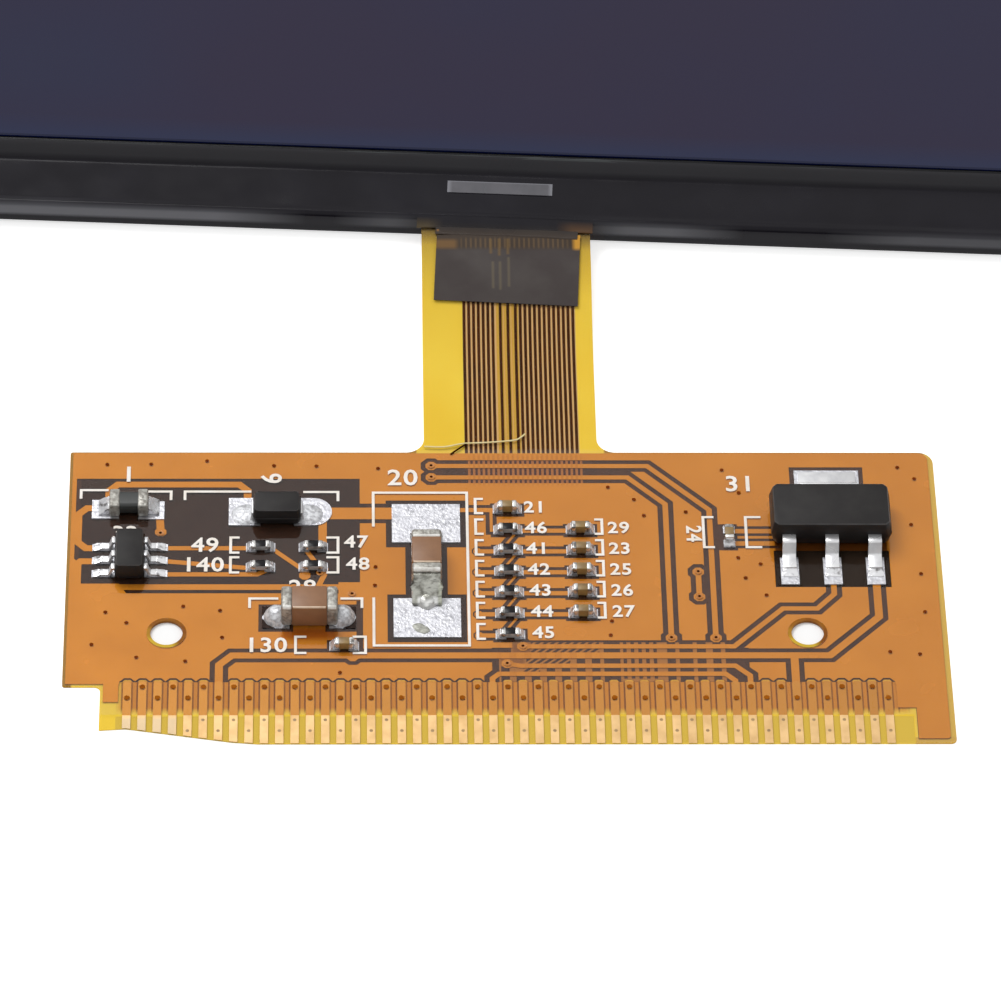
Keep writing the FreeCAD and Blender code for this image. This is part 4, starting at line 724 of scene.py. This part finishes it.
# Film circuit

def slimmed(node, name, finish, slot):
    """A clear layer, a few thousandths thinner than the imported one, so that it touches no other layer."""
    choose()
    piece = nodes[node].copy()
    piece.data = nodes[node].data.copy()
    piece.parent = None
    piece.name = piece.data.name = name
    bpy.context.scene.collection.objects.link(piece)
    piece.data.transform(Matrix.Scale(1 / MM, 4))
    pick(piece, "FACE", everything)
    bpy.ops.mesh.remove_doubles(threshold=0.0005)
    bpy.ops.transform.shrink_fatten(value=-0.005, use_even_offset=True)
    bpy.ops.object.mode_set(mode="OBJECT")
    return settle(piece, finish, slot, node, smooth=20)


# Chips

LEFT_COLUMN, RIGHT_COLUMN = 0.2, 4.1
BACK_ROW, ROW_PITCH = 16.62, 1.515


def row(count):
    """The level of a row of the two chip columns, counted from the back one."""
    return BACK_ROW - ROW_PITCH * count


RESISTORS = {
    **{number: (LEFT_COLUMN, row(number)) for number in range(1, 7)},
    7: (-13.07, 13.82), 8: (-13.07, 12.38), 9: (-10.25, 13.82), 10: (-10.25, 12.38),
}
SMALL_CAPACITORS = {
    1: (LEFT_COLUMN, row(0)),
    **{number: (RIGHT_COLUMN, row(number - 1)) for number in range(2, 7)},
    7: (12.1, 14.62), 8: (-8.6, 6.72),
}
UPRIGHT_CAPACITOR = 7
TANK, BOOST = (-4.2, 12.35), (-10.44, 8.93)
BULK_LENGTH = 3.0
INDUCTOR, INDUCTOR_END = (-20.17, 16.72), 1.035
REGULATOR, CONVERTER, DIODE = (17.55, 15.55), (-20.05, 12.87), (-12.2, 16.22)


def chip_pattern(name, length, width, height, cap, edge):
    """Middle and end cap of a chip that lies along X, on level zero."""
    tuck, inset = 0.04, 0.012
    core = start_block(name + "_core", (-length / 2 + cap - tuck, -width / 2 + inset, 0.01),
                       (length / 2 - cap + tuck, width / 2 - inset, height - 0.015))
    bevel_edges(core, edge * 0.5)
    end = start_block(name + "_end", (length / 2 - cap, -width / 2, 0), (length / 2, width / 2, height))
    bevel_edges(end, edge, 3)
    return core, end


def concave_fillet(name, reach, rise, foot_width, top_width):
    """Solder that climbs an end face at X zero and runs out hollow towards +X."""
    piece = start_block(name, (0, -0.5, 0), (1, 0.5, 1))
    bevel_edges(piece, 0.88, 7, lambda middle, way: middle.x > 0.9 and middle.z > 0.9, profile=0.22)
    shaped(piece, "EDGE", lambda middle, way: middle.z > 0.3 and middle.x < 0.35,
           bpy.ops.transform.resize, value=(1, top_width / foot_width, 1))
    piece.scale = (reach, foot_width, rise)
    choose(piece)
    bpy.ops.object.transform_apply(scale=True)
    round_by_angle(piece, min(reach, rise) * 0.16, 2, 50)
    return piece


def small_chips():
    """All small chips. Gives back their end caps by kind, and their solder."""
    length, width, cap, edge = 1.0, 0.5, 0.26, 0.07
    caps, solder = {}, []
    for kind, places, height, finish, slot in (
            ("resistor", RESISTORS, 0.35, "resistor_glaze", "resistor_glaze"),
            ("capacitor", SMALL_CAPACITORS, 0.5, "small_ceramic", "capacitor_ceramic")):
        core, end = chip_pattern(kind, length, width, height, cap, edge)
        fillet = concave_fillet(kind + "_fillet", 0.24, height * 0.8, 0.60, 0.42)
        caps[kind] = []
        for number, (x, y) in places.items():
            turn = 90 if kind == "capacitor" and number == UPRIGHT_CAPACITOR else 0
            middle = settle(copied(core, f"{kind}_{number}_middle", x, y, PARTS, turn), finish,
                            slot, f"{kind}_{number}")
            if kind == "resistor":
                second_finish(middle, "chip_side", lambda face: face.normal.z < 0.5)
            for half in (turn, turn + 180):
                caps[kind].append(copied(end, "end_cap", x, y, PARTS, half))
                hook = Matrix.Rotation(math.radians(half), 3, "Z") @ Vector((length / 2, 0, 0))
                solder.append(copied(fillet, "fillet", x + hook.x, y + hook.y, PARTS, half))
        discard(core, end, fillet)
    return caps, solder


def front_edge(face, least=0.35):
    """Whether a face belongs to the rounded edge between a piece's top and its front."""
    return face.normal.y < -least and face.normal.z > least and abs(face.normal.x) < 0.3


def bulk_capacitors():
    """The two large capacitors; the tank stands across the board, the boost one lies along it."""
    core, end = chip_pattern("bulk", BULK_LENGTH, 1.6, 1.5, 0.6, 0.16)
    caps = []
    for number, place, turn in ((9, TANK, 90), (10, BOOST, 0)):
        middle = settle(copied(core, f"capacitor_{number}_middle", *place, PARTS, turn),
                        "capacitor_ceramic", "capacitor_ceramic", f"capacitor_{number}")
        # The ceramic's front top edge takes a painted highlight.
        second_finish(middle, "ceramic_edge_highlight", front_edge)
        caps += [copied(end, "end_cap", *place, PARTS, half) for half in (turn, turn + 180)]
    caps = settle(joined(caps, "bulk_end_caps"), "large_cap", "tin_plate", "capacitor_caps")
    # The caps' front top edges take a painted highlight.
    second_finish(caps, "cap_edge_highlight", lambda face: front_edge(face, 0.2))
    discard(core, end)


def inductor():
    """Wound core between two brushed end caps."""
    core = start_block("inductor_core_turned", (-0.5, -0.58, STAND_OFF), (0.5, 0.58, 0.80))
    bevel_edges(core, 0.24, 5, lambda middle, way: abs(way.x) > 0.9)
    end = start_block("inductor_end", (0.485, -0.65, 0), (INDUCTOR_END, 0.65, 0.85))
    bevel_edges(end, 0.09, 3)
    settle(copied(core, "inductor_middle", *INDUCTOR, PARTS), "ferrite", "ferrite", "inductor_core")
    discard(core)
    ends = joined(spread(end, [(*INDUCTOR, 0), (*INDUCTOR, 180)]), "inductor_end_caps")
    settle(ends, "large_cap", "tin_plate", "inductor_caps")


# Moulded parts

def moulded(name, place, width, depth, height, edge, corner, seam=0.0):
    """Moulded package: widest at the level of its leads, where the two halves of the mould met."""
    (x, y), slope = place, 0.2
    low, high, split = PARTS + STAND_OFF, PARTS + height, PARTS + height / 2
    piece = start_block(name, (x - width / 2, y - depth / 2, low), (x + width / 2, y + depth / 2, high))
    shaped(piece, "FACE", everything, bpy.ops.mesh.bisect, plane_co=(0, 0, split), plane_no=(0, 0, 1))
    for level in (high, low):
        draw_in = 2 * slope * abs(level - split)
        shaped(piece, "FACE", lambda middle, normal: abs(middle.z - level) < 0.01,
               bpy.ops.transform.resize, value=(1 - draw_in / width, 1 - draw_in / depth, 1))
    bevel_edges(piece, corner, 1, lambda middle, way: abs(way.z) > 0.8)
    round_by_angle(piece, edge, 3, 40)
    if seam:
        bevel_edges(piece, seam, 1, lambda middle, way: abs(middle.z - split) < 0.01 and abs(way.z) < 0.1)
    return piece


def package(piece, stands_for, seam=None):
    """Settles a moulded body, with a painted highlight round its top and, where asked, on its seam."""
    settle(piece, "package_black", "package_black", stands_for)
    rim, line = 0.12 * MM, 0.02 * MM
    top = max(face.center.z for face in piece.data.polygons)
    # The painted highlight goes on the rounded top edge and on the seam.
    second_finish(piece, "moulded_edge_highlight",
                  lambda face: 0.3 < face.normal.z < 0.93 and face.center.z > top - rim
                  or seam and abs(face.center.z - seam * MM) < line)


def folded_strip(name, width, metal, path, bend=0.05):
    """Sheet metal lead: a strip along -Y, folded at each point of its path (y, z), then thickened."""
    choose()
    (y0, z0), (y1, z1) = path[:2]
    bpy.ops.mesh.primitive_plane_add(size=1, location=(0, (y0 + y1) / 2, z0))
    bpy.context.object.scale = (width, abs(y1 - y0), 1)
    piece = take_up(name)
    pick(piece, "EDGE", lambda middle, way: middle.y < min(y0, y1) + 0.001)
    extrude_along(path[1:])
    face_up(piece)
    round_by_angle(piece, bend, 3, 20)
    apply_modifier(piece, "SOLIDIFY", thickness=metal, offset=-1, use_even_offset=True)
    round_by_angle(piece, metal * 0.12, 2, 60)
    return piece


def regulator():
    """Three-lead regulator with a wide tab. Gives back the solder at its leads."""
    (x, y), metal, level, pitch = REGULATOR, 0.26, 0.93, 2.3
    package(moulded("regulator_moulding", REGULATOR, 6.5, 3.3, 1.6, 0.07, 0.22), "regulator_body")
    lead = folded_strip("regulator_lead", 0.72, metal,
                        [(-1.60, level), (-2.15, level), (-2.5, metal), (-3.4, metal)], 0.09)
    tab = folded_strip("regulator_tab", 3.1, metal,
                       [(-1.60, level), (-2.25, level), (-2.6, metal), (-3.6, metal)], 0.09)
    columns = (x - pitch, x, x + pitch)
    leads = spread(lead, [(column, y) for column in columns]) + spread(tab, [(x, y, 180)])
    settle(joined(leads, "regulator_lead_metal"), "tin_plate", "tin_plate", "regulator_leads")
    foot = concave_fillet("lead_foot", 0.5, 0.17, 0.86, 0.76)
    return spread(foot, [(column, y - 3.36, -90) for column in columns])


def converter():
    """Six-lead converter. Gives back the solder at its leads."""
    (x, y), metal, level = CONVERTER, 0.15, 0.62
    package(moulded("converter_moulding", CONVERTER, 1.6, 2.9, 1.1, 0.05, 0.12), "converter_body")
    lead = folded_strip("converter_lead", 0.4, metal,
                        [(-0.77, level), (-0.96, level), (-1.12, metal), (-1.45, metal)])
    rows = (y - 0.95, y, y + 0.95)
    leads = spread(lead, [(x, back, turn) for back in rows for turn in (90, -90)])
    settle(joined(leads, "converter_lead_metal"), "tin_plate", "tin_plate", "converter_leads")
    foot = concave_fillet("converter_foot", 0.5, 0.16, 0.52, 0.42)
    return spread(foot, [place for back in rows for place in ((x - 1.42, back, 180), (x + 1.42, back))])


def diode():
    """Diode with a flat tab at each end. Gives back the heaps of solder on its tabs."""
    (x, y), metal, level = DIODE, 0.15, 0.62
    body = moulded("diode_moulding", DIODE, 2.6, 1.65, DIODE_HEIGHT, 0.05, 0.14, 0.03)
    package(body, "diode_body", PARTS + DIODE_HEIGHT / 2)
    tab = folded_strip("diode_tab", 0.95, metal,
                       [(-1.25, level), (-1.36, level), (-1.44, metal), (-1.75, metal)], 0.04)
    tabs = joined(spread(tab, [(x, y, 90), (x, y, -90)]), "diode_tab_metal")
    settle(tabs, "tin_plate", "tin_plate", "diode_tabs")
    return spread(solder_blob("diode_foot", 1.8, 1.7, 0.26), [(x - 1.66, y, 180), (x + 1.66, y)])


def solder_blob(name, length, width, rise):
    """A low heap of solder: the upper part of a lumpy ball."""
    x, y = 0.62 * length, 0.62 * width
    piece = start_block(name, (-x, -y, -3.4 * rise), (x, y, 1.25 * rise))
    apply_modifier(piece, "SUBSURF", levels=4, render_levels=4)
    shaped(piece, "FACE", everything, bpy.ops.mesh.bisect, plane_co=(0, 0, 0), plane_no=(0, 0, 1),
           clear_inner=True, use_fill=False)
    lumpy(piece, name + " lumps", 0.3, 0.10)
    return piece


def tank_solder():
    """Solder at the tank capacitor: it climbs both ends and runs out in a toe at the front."""
    x, y = TANK
    behind = concave_fillet("fillet_behind", 0.95, 0.85, 1.75, 1.35)
    ahead = concave_fillet("fillet_ahead", 1.25, 1.25, 1.6, 1.5)
    toe = solder_blob("fillet_toe", 1.5, 1.3, 0.55)
    climbing = (spread(behind, [(x, y + BULK_LENGTH / 2, 90)])
                + spread(ahead, [(x, y - BULK_LENGTH / 2, -90)]) + spread(toe, [(x, 10.0, 90)]))
    settle(joined(climbing, "tank_capacitor_solder"), "climbing_solder", "solder", "solder_joints")


def boost_solder():
    """Heaps of solder at the boost capacitor's ends, and the lone drop on the tank capacitor's pad."""
    x, y = BOOST[0], 8.80
    heaps = spread(solder_blob("lying_blob", 1.6, 1.65, 0.75), [(x + 1.72, y), (x - 1.72, y, 180)])
    return heaps + spread(solder_blob("drop", 1.1, 0.7, 0.09), [(-4.53, 7.98, -30)])


def inductor_solder():
    """Solder at both ends of the inductor."""
    x, y = INDUCTOR
    coil = concave_fillet("coil_fillet", 0.6, 0.45, 1.1, 0.95)
    return spread(coil, [(x + INDUCTOR_END, y), (x - INDUCTOR_END, y, 180)])


def board_parts():
    """All parts on the board with their solder."""
    caps, solder = small_chips()
    bulk_capacitors()
    inductor()
    solder += regulator() + converter()
    heaps = boost_solder()
    tank_solder()
    solder += inductor_solder()
    heaps += diode()
    for kind, ends in caps.items():
        settle(joined(ends, f"{kind}_end_caps"), "cap_metal", "tin_plate", f"{kind}_caps")
    settle(joined(solder, "solder_fillets"), "bright_solder", "solder", "solder_joints")
    settle(joined(heaps, "solder_heaps"), "calm_solder", "solder", "solder_joints")


# Ledge

def ledge_coat():
    """Black coat over the ledge: a front bead, a groove, a flat run and a climb to the front glass."""
    profile = [(-0.02, 0.22), (-0.06, 0.40), (-0.06, 0.90), (-0.05, 1.16), (-0.01, 1.36), (0.09, 1.50),
               (0.25, 1.57), (0.42, 1.55), (0.56, 1.51), (0.74, 1.52), (1.2, 1.55), (2.2, 1.56),
               (3.2, 1.575), (3.46, 1.585), (3.53, 1.63), (3.60, 1.72), (4.12, 2.39), (4.19, 2.44),
               (4.39, 2.445)]
    (y0, z0), (y1, z1) = profile[:2]
    depth = 0.01
    choose()
    bpy.ops.mesh.primitive_grid_add(x_subdivisions=140, y_subdivisions=1, size=1, location=(0, 0, 0))
    bpy.context.object.scale = (PANEL_WIDTH, depth, 1)
    piece = take_up("ledge_coat")
    shaped(piece, "EDGE", lambda middle, way: middle.y > 0.4 * depth and abs(way.x) > 0.9,
           bpy.ops.transform.translate, value=(0, y1 - depth / 2, z1))
    shaped(piece, "EDGE", lambda middle, way: middle.z < 0.1 and abs(way.x) > 0.9,
           bpy.ops.transform.translate, value=(0, y0 + depth / 2, z0))
    pick(piece, "EDGE", lambda middle, way: middle.z > z1 - 0.01 and abs(way.x) > 0.9)
    extrude_along(profile[1:])
    face_up(piece)
    apply_modifier(piece, "SUBSURF", levels=1, render_levels=1)
    lumpy(piece, "slow wander", 6.0, 0.06, direction="Z")
    piece.data.transform(PANEL)
    settle(piece, "black_coat", "black_coat", "ledge_coating", smooth=80)


def tail_tongue():
    """Black coat that runs out over the tail at the ledge, thinner and brown over the patch."""
    for name, left, right, front, back, top, finish in (
            ("coat_tongue", -4.78, 5.05, -0.80, 0.12, 1.575, "black_coat"),
            ("coat_run_out", -3.72, 4.22, -1.32, -0.55, 1.555, "coat_edge")):
        piece = start_block(name, (left, front, 1.47), (right, back, top))
        shaped(piece, "FACE", everything, bpy.ops.mesh.subdivide, number_cuts=7)
        shaped(piece, "EDGE", lambda middle, way: middle.y < front + 0.02 and middle.z > top - 0.02,
               bpy.ops.transform.translate, value=(0, 0, -0.04))
        lumpy(piece, "ragged edge", 1.2, 0.16, direction="Y")
        piece.data.transform(PANEL)
        settle(piece, finish, "black_coat", smooth=60)


# Board details

VIAS = [
    (-21.42, 19.96), (-19.04, 19.98), (-16.02, 20.22), (-12.39, 19.87), (-10.09, 19.84), (-6.75, 19.67),
    (-6.92, 12.43), (-6.96, 11.10), (-21.27, 9.17), (-20.14, 8.42), (-21.95, 6.87), (-19.57, 5.96),
    (-16.98, 5.69), (-17.15, 9.59), (-15.19, 9.29), (-15.06, 7.37), (-8.83, 4.88), (5.68, 18.28),
    (7.06, 17.37), (7.56, 16.19), (9.83, 16.45), (11.90, 19.56), (12.75, 17.87), (12.52, 13.10),
    (13.70, 12.64), (12.86, 11.64), (13.92, 10.39), (5.61, 8.53), (5.52, 7.53), (21.46, 19.76),
    (22.33, 18.91), (21.96, 15.52), (22.27, 11.93), (22.32, 9.19), (20.29, 6.34), (21.86, 6.18),
]
LINE_ENDS = [
    (-3.87, 19.89), (-3.87, 19.04), (8.74, 7.36), (11.1, 7.36), (0.85, 6.76), (0.0, 5.54),
    (10.34, 12.1), (10.34, 10.3), (-8.18, 10.5), (-18.45, 14.9), (-9.9, 12.0),
]
NUMBERS = [
    ("20", -5.43, 18.91, 1.13, 0), ("31", 12.83, 18.46, 1.11, 0), ("1", -20.24, 19.15, 1.10, 0),
    ("6", -12.46, 18.90, 1.10, 90), ("49", -16.04, 13.96, 1.0, 0), ("140", -16.13, 12.53, 1.0, 0),
    ("47", -7.96, 14.20, 0.85, 0), ("48", -7.86, 12.60, 0.85, 0), ("130", -12.73, 6.76, 1.0, 0),
    ("24", 10.17, 14.83, 0.80, -90), ("28", -10.82, 10.90, 1.0, 0), ("32", -20.35, 14.85, 0.95, 0),
]
LEFT_NUMBERS = ["21", "46", "41", "42", "43", "44", "45"]
RIGHT_NUMBERS = ["29", "23", "25", "26", "27"]


def low_ring(name, outer, inner, rise, corners=12):
    """A low raised ring with a dip in its middle; the middle takes the second finish."""
    choose()
    bpy.ops.mesh.primitive_circle_add(vertices=corners, radius=outer, fill_type="NGON", location=(0, 0, 0))
    piece = take_up(name)
    step = (outer - inner) / 2
    pick(piece, "FACE", everything)
    bpy.ops.mesh.inset(thickness=step, depth=rise)
    bpy.ops.mesh.inset(thickness=step, depth=-rise * 0.7)
    bpy.ops.object.mode_set(mode="OBJECT")
    for face in piece.data.polygons:
        face.material_index = 1 if face.center.length < rise and abs(face.normal.z) > 0.999 else 0
    return piece


def settle_rings(marks, name, first, second, slot):
    """Joins rings whose faces already point at two finishes, and settles them."""
    piece = joined(marks, name)
    places = [face.material_index for face in piece.data.polygons]
    settle(piece, first, slot)
    piece.data.materials.append(FINISHES[second])
    for face, place in zip(piece.data.polygons, places):
        face.material_index = place


def via_marks():
    """Small plated holes that show through the cover film as brown rings, and the lines' round ends."""
    marks = spread(low_ring("via_ring", 0.11, 0.055, 0.008), VIAS, MARK_LEVEL)
    settle_rings(marks, "via_marks", "via_brown", "via_dark", "orange_copper")
    marks = spread(low_ring("line_end_ring", 0.20, 0.165, 0.005, 16), LINE_ENDS, MARK_LEVEL)
    settle_rings(marks, "line_end_marks", "finger_orange", "bare_orange", "orange_copper")
    dots = spread(low_ring("line_end_dot", 0.085, 0.04, 0.006, 8), LINE_ENDS, PRINT_LEVEL)
    settle(joined(dots, "line_end_dots"), "via_dark", "orange_copper")


def finger_marks():
    """Two small embossed rings on every contact finger, the lower ones lacking at the worn left end."""
    covered_rows, bare_rows, worn = (3.12, 3.89), (0.86, 1.61), 4
    fingers = [(index, FIRST_CONTACT + CONTACT_PITCH * index) for index in range(CONTACT_COUNT)]
    covered = [(x, covered_rows[index % 2]) for index, x in fingers]
    marks = spread(low_ring("finger_ring", 0.155, 0.105, 0.006, 10), covered, MARK_LEVEL)
    settle_rings(marks, "covered_finger_marks", "ring_brown", "finger_orange", "orange_copper")
    dots = spread(low_ring("finger_dot", 0.055, 0.025, 0.005, 8),
                  [(x + 0.02, y - 0.02) for x, y in covered], FILM_TOP + 0.004)
    settle(joined(dots, "covered_finger_dots"), "ring_brown", "orange_copper")
    bare = [(x, bare_rows[index % 2]) for index, x in fingers[worn:]]
    marks = spread(low_ring("bare_finger_ring", 0.10, 0.045, 0.006, 8), bare, BARE_TOP + 0.001)
    settle_rings(marks, "bare_finger_marks", "contact_brown", "gold_contact", "gold_contact")


def number(text, x, y, height, turn=0, align="CENTER"):
    """A printed number, a little raised. A digit fills 0.7 of the type's size."""
    choose()
    bpy.ops.object.text_add(location=(0, 0, 0))
    letters = bpy.context.object.data
    for setting, value in (("body", text), ("size", height / 0.70), ("align_x", align),
                           ("align_y", "CENTER"), ("offset", 0.022), ("space_character", 1.08),
                           ("extrude", 0.005), ("bevel_depth", 0.003), ("resolution_u", 3)):
        setattr(letters, setting, value)
    bpy.ops.object.convert(target="MESH")
    label = bpy.context.object
    label.data.transform(move_to(x, y, PRINT_LEVEL, turn))
    return label


def printed_numbers():
    """The plain numbers beside the parts, those of the two chip columns row by row."""
    labels = [number(*entry) for entry in NUMBERS]
    for texts, x, drift, first in ((LEFT_NUMBERS, 1.08, 0.05, 0), (RIGHT_NUMBERS, 5.55, 0.02, 1)):
        for line, text in enumerate(texts, start=first):
            labels.append(number(text, x + drift * line, row(line) + 0.13, 0.80, align="LEFT"))
    settle(joined(labels, "printed_numbers"), "white_print", "white_print", smooth=0)


def round_bead(name, points, radius, finish, slot):
    """A thin bead laid along points."""
    line = bpy.data.curves.new(name, "CURVE")
    line.dimensions = "3D"
    line.bevel_depth = radius
    line.bevel_resolution = 2
    line.resolution_u = 6
    run = line.splines.new("NURBS")
    run.points.add(len(points) - 1)
    for point, place in zip(run.points, points):
        point.co = (*place, 1)
    run.order_u = 3
    run.use_endpoint_u = True
    holder = bpy.data.objects.new(name, line)
    bpy.context.scene.collection.objects.link(holder)
    choose(holder)
    bpy.ops.object.convert(target="MESH")
    settle(bpy.context.object, finish, slot, smooth=80)


def tail_details():
    """The clear bead of glue across the tail's foot, and the dark line beside it."""
    level = FILM_TOP + 0.02
    places = [(-4.24, 21.28), (-3.59, 21.24), (-2.99, 21.25), (-2.17, 21.52), (-1.19, 21.55),
              (-0.26, 21.63), (0.45, 21.71), (0.94, 21.80), (1.27, 22.23)]
    round_bead("tail_glue_bead", [(x, y, level) for x, y in places], 0.045, "clear_glue", "clear_film")
    places = [(-1.93, 21.5), (-2.35, 21.15), (-2.8, 20.72)]
    round_bead("tail_side_line", [(x, y, FILM_TOP) for x, y in places], 0.05, "via_dark", "dark_copper")


# Stage, light and camera

def floor():
    """The white table. It is plain white to the eye and to gloss, but keeps the object's shadow."""
    bpy.ops.mesh.primitive_plane_add(size=4, location=(0, 0, -0.00002))
    table = bpy.context.object
    table.name = "table_top"
    finish = bpy.data.materials.new("white table")
    finish.use_nodes = True
    tree = finish.node_tree
    ray = added(tree, "LightPath").outputs
    seen = worked(tree, "MAXIMUM", ray["Is Camera Ray"], ray["Is Glossy Ray"])
    amount = worked(tree, "MULTIPLY", seen, 0.62)
    for x, y in HOLES:
        hole = (x - 1.5, x + 1.5, y - 1.5, y + 1.5)
        amount = both_masks(finish, amount, less_where(finish, hole, 0.8))
    for socket, value in (("Base Color", (0.9, 0.9, 0.9, 1)), ("Roughness", 0.9),
                          ("Specular IOR Level", 0.0), ("Emission Color", (1, 1, 1, 1)),
                          ("Emission Strength", amount), ("Alpha", faces_front(finish))):
        feed(tree, tree.nodes["Principled BSDF"].inputs[socket], value)
    table.data.materials.append(finish)


def sky():
    """White all round, dimmer towards the horizon in reflections, and half as strong as a light."""
    world = bpy.data.worlds.new("studio")
    bpy.context.scene.world = world
    world.use_nodes = True
    tree = world.node_tree
    ray = added(tree, "LightPath").outputs
    way = added(tree, "TexCoord").outputs["Generated"]
    height = added(tree, "SeparateXYZ", Vector=way).outputs["Z"]
    span = added(tree, "MapRange", Value=height, From_Min=0.17, From_Max=0.60, To_Min=0.10, To_Max=0.95)
    glossy = added(tree, "Mix", Factor=ray["Is Glossy Ray"], A=0.55, B=span.outputs["Result"])
    seen = added(tree, "Mix", Factor=ray["Is Camera Ray"], A=glossy.outputs["Result"], B=1.0)
    shade = tree.nodes["Background"]
    tree.links.new(seen.outputs["Result"], shade.inputs["Strength"])
    shade.inputs["Color"].default_value = (1, 1, 1, 1)


def lamp(name, place, aim, size, watts):
    """A soft square lamp that looks at a point."""
    light = bpy.data.lights.new(name, "AREA")
    light.shape = "SQUARE"
    light.size = size
    light.energy = watts
    holder = bpy.data.objects.new(name, light)
    bpy.context.scene.collection.objects.link(holder)
    holder.location = place
    holder.rotation_euler = (Vector(aim) - Vector(place)).to_track_quat("-Z", "Y").to_euler()


def camera():
    """The photograph's viewpoint: 47 degrees up, a little from the left, rolled a little."""
    azimuth, height, roll = (math.radians(angle) for angle in (-2.219, 46.883, 1.636))
    aim, distance = Vector((-0.151, 17.277, FILM_TOP)) * MM, 349.72 * MM
    focal_pixels, photo_width = 6476.7, 1001
    back = Vector((math.sin(azimuth) * math.cos(height), -math.cos(azimuth) * math.cos(height),
                   math.sin(height)))
    right = Vector((math.cos(azimuth), math.sin(azimuth), 0))
    up = back.cross(right)
    across = right * math.cos(roll) + up * math.sin(roll)
    upward = up * math.cos(roll) - right * math.sin(roll)
    lens = bpy.data.cameras.new("camera")
    lens.sensor_width = 36
    lens.lens = focal_pixels / photo_width * lens.sensor_width
    lens.clip_start = 0.02
    lens.clip_end = 20
    holder = bpy.data.objects.new("camera", lens)
    bpy.context.scene.collection.objects.link(holder)
    turn = Matrix((across, upward, back)).transposed().to_4x4()
    holder.matrix_world = Matrix.Translation(aim + back * distance) @ turn
    bpy.context.scene.camera = holder


bpy.context.scene.view_settings.view_transform = "Standard"
camera()
sky()
floor()
lamp("key_lamp", (-0.35, 0.45, 0.75), (0, 0.02, 0), 0.5, 5.0)
dress_frame()
slimmed("front_coverlay", "cover_film_skin", "film_skin", "clear_film")
slimmed("base_film", "base_film_sheet", "thin_film", "clear_film")
board_parts()
ledge_coat()
via_marks()
finger_marks()
printed_numbers()
tail_details()
tail_tongue()
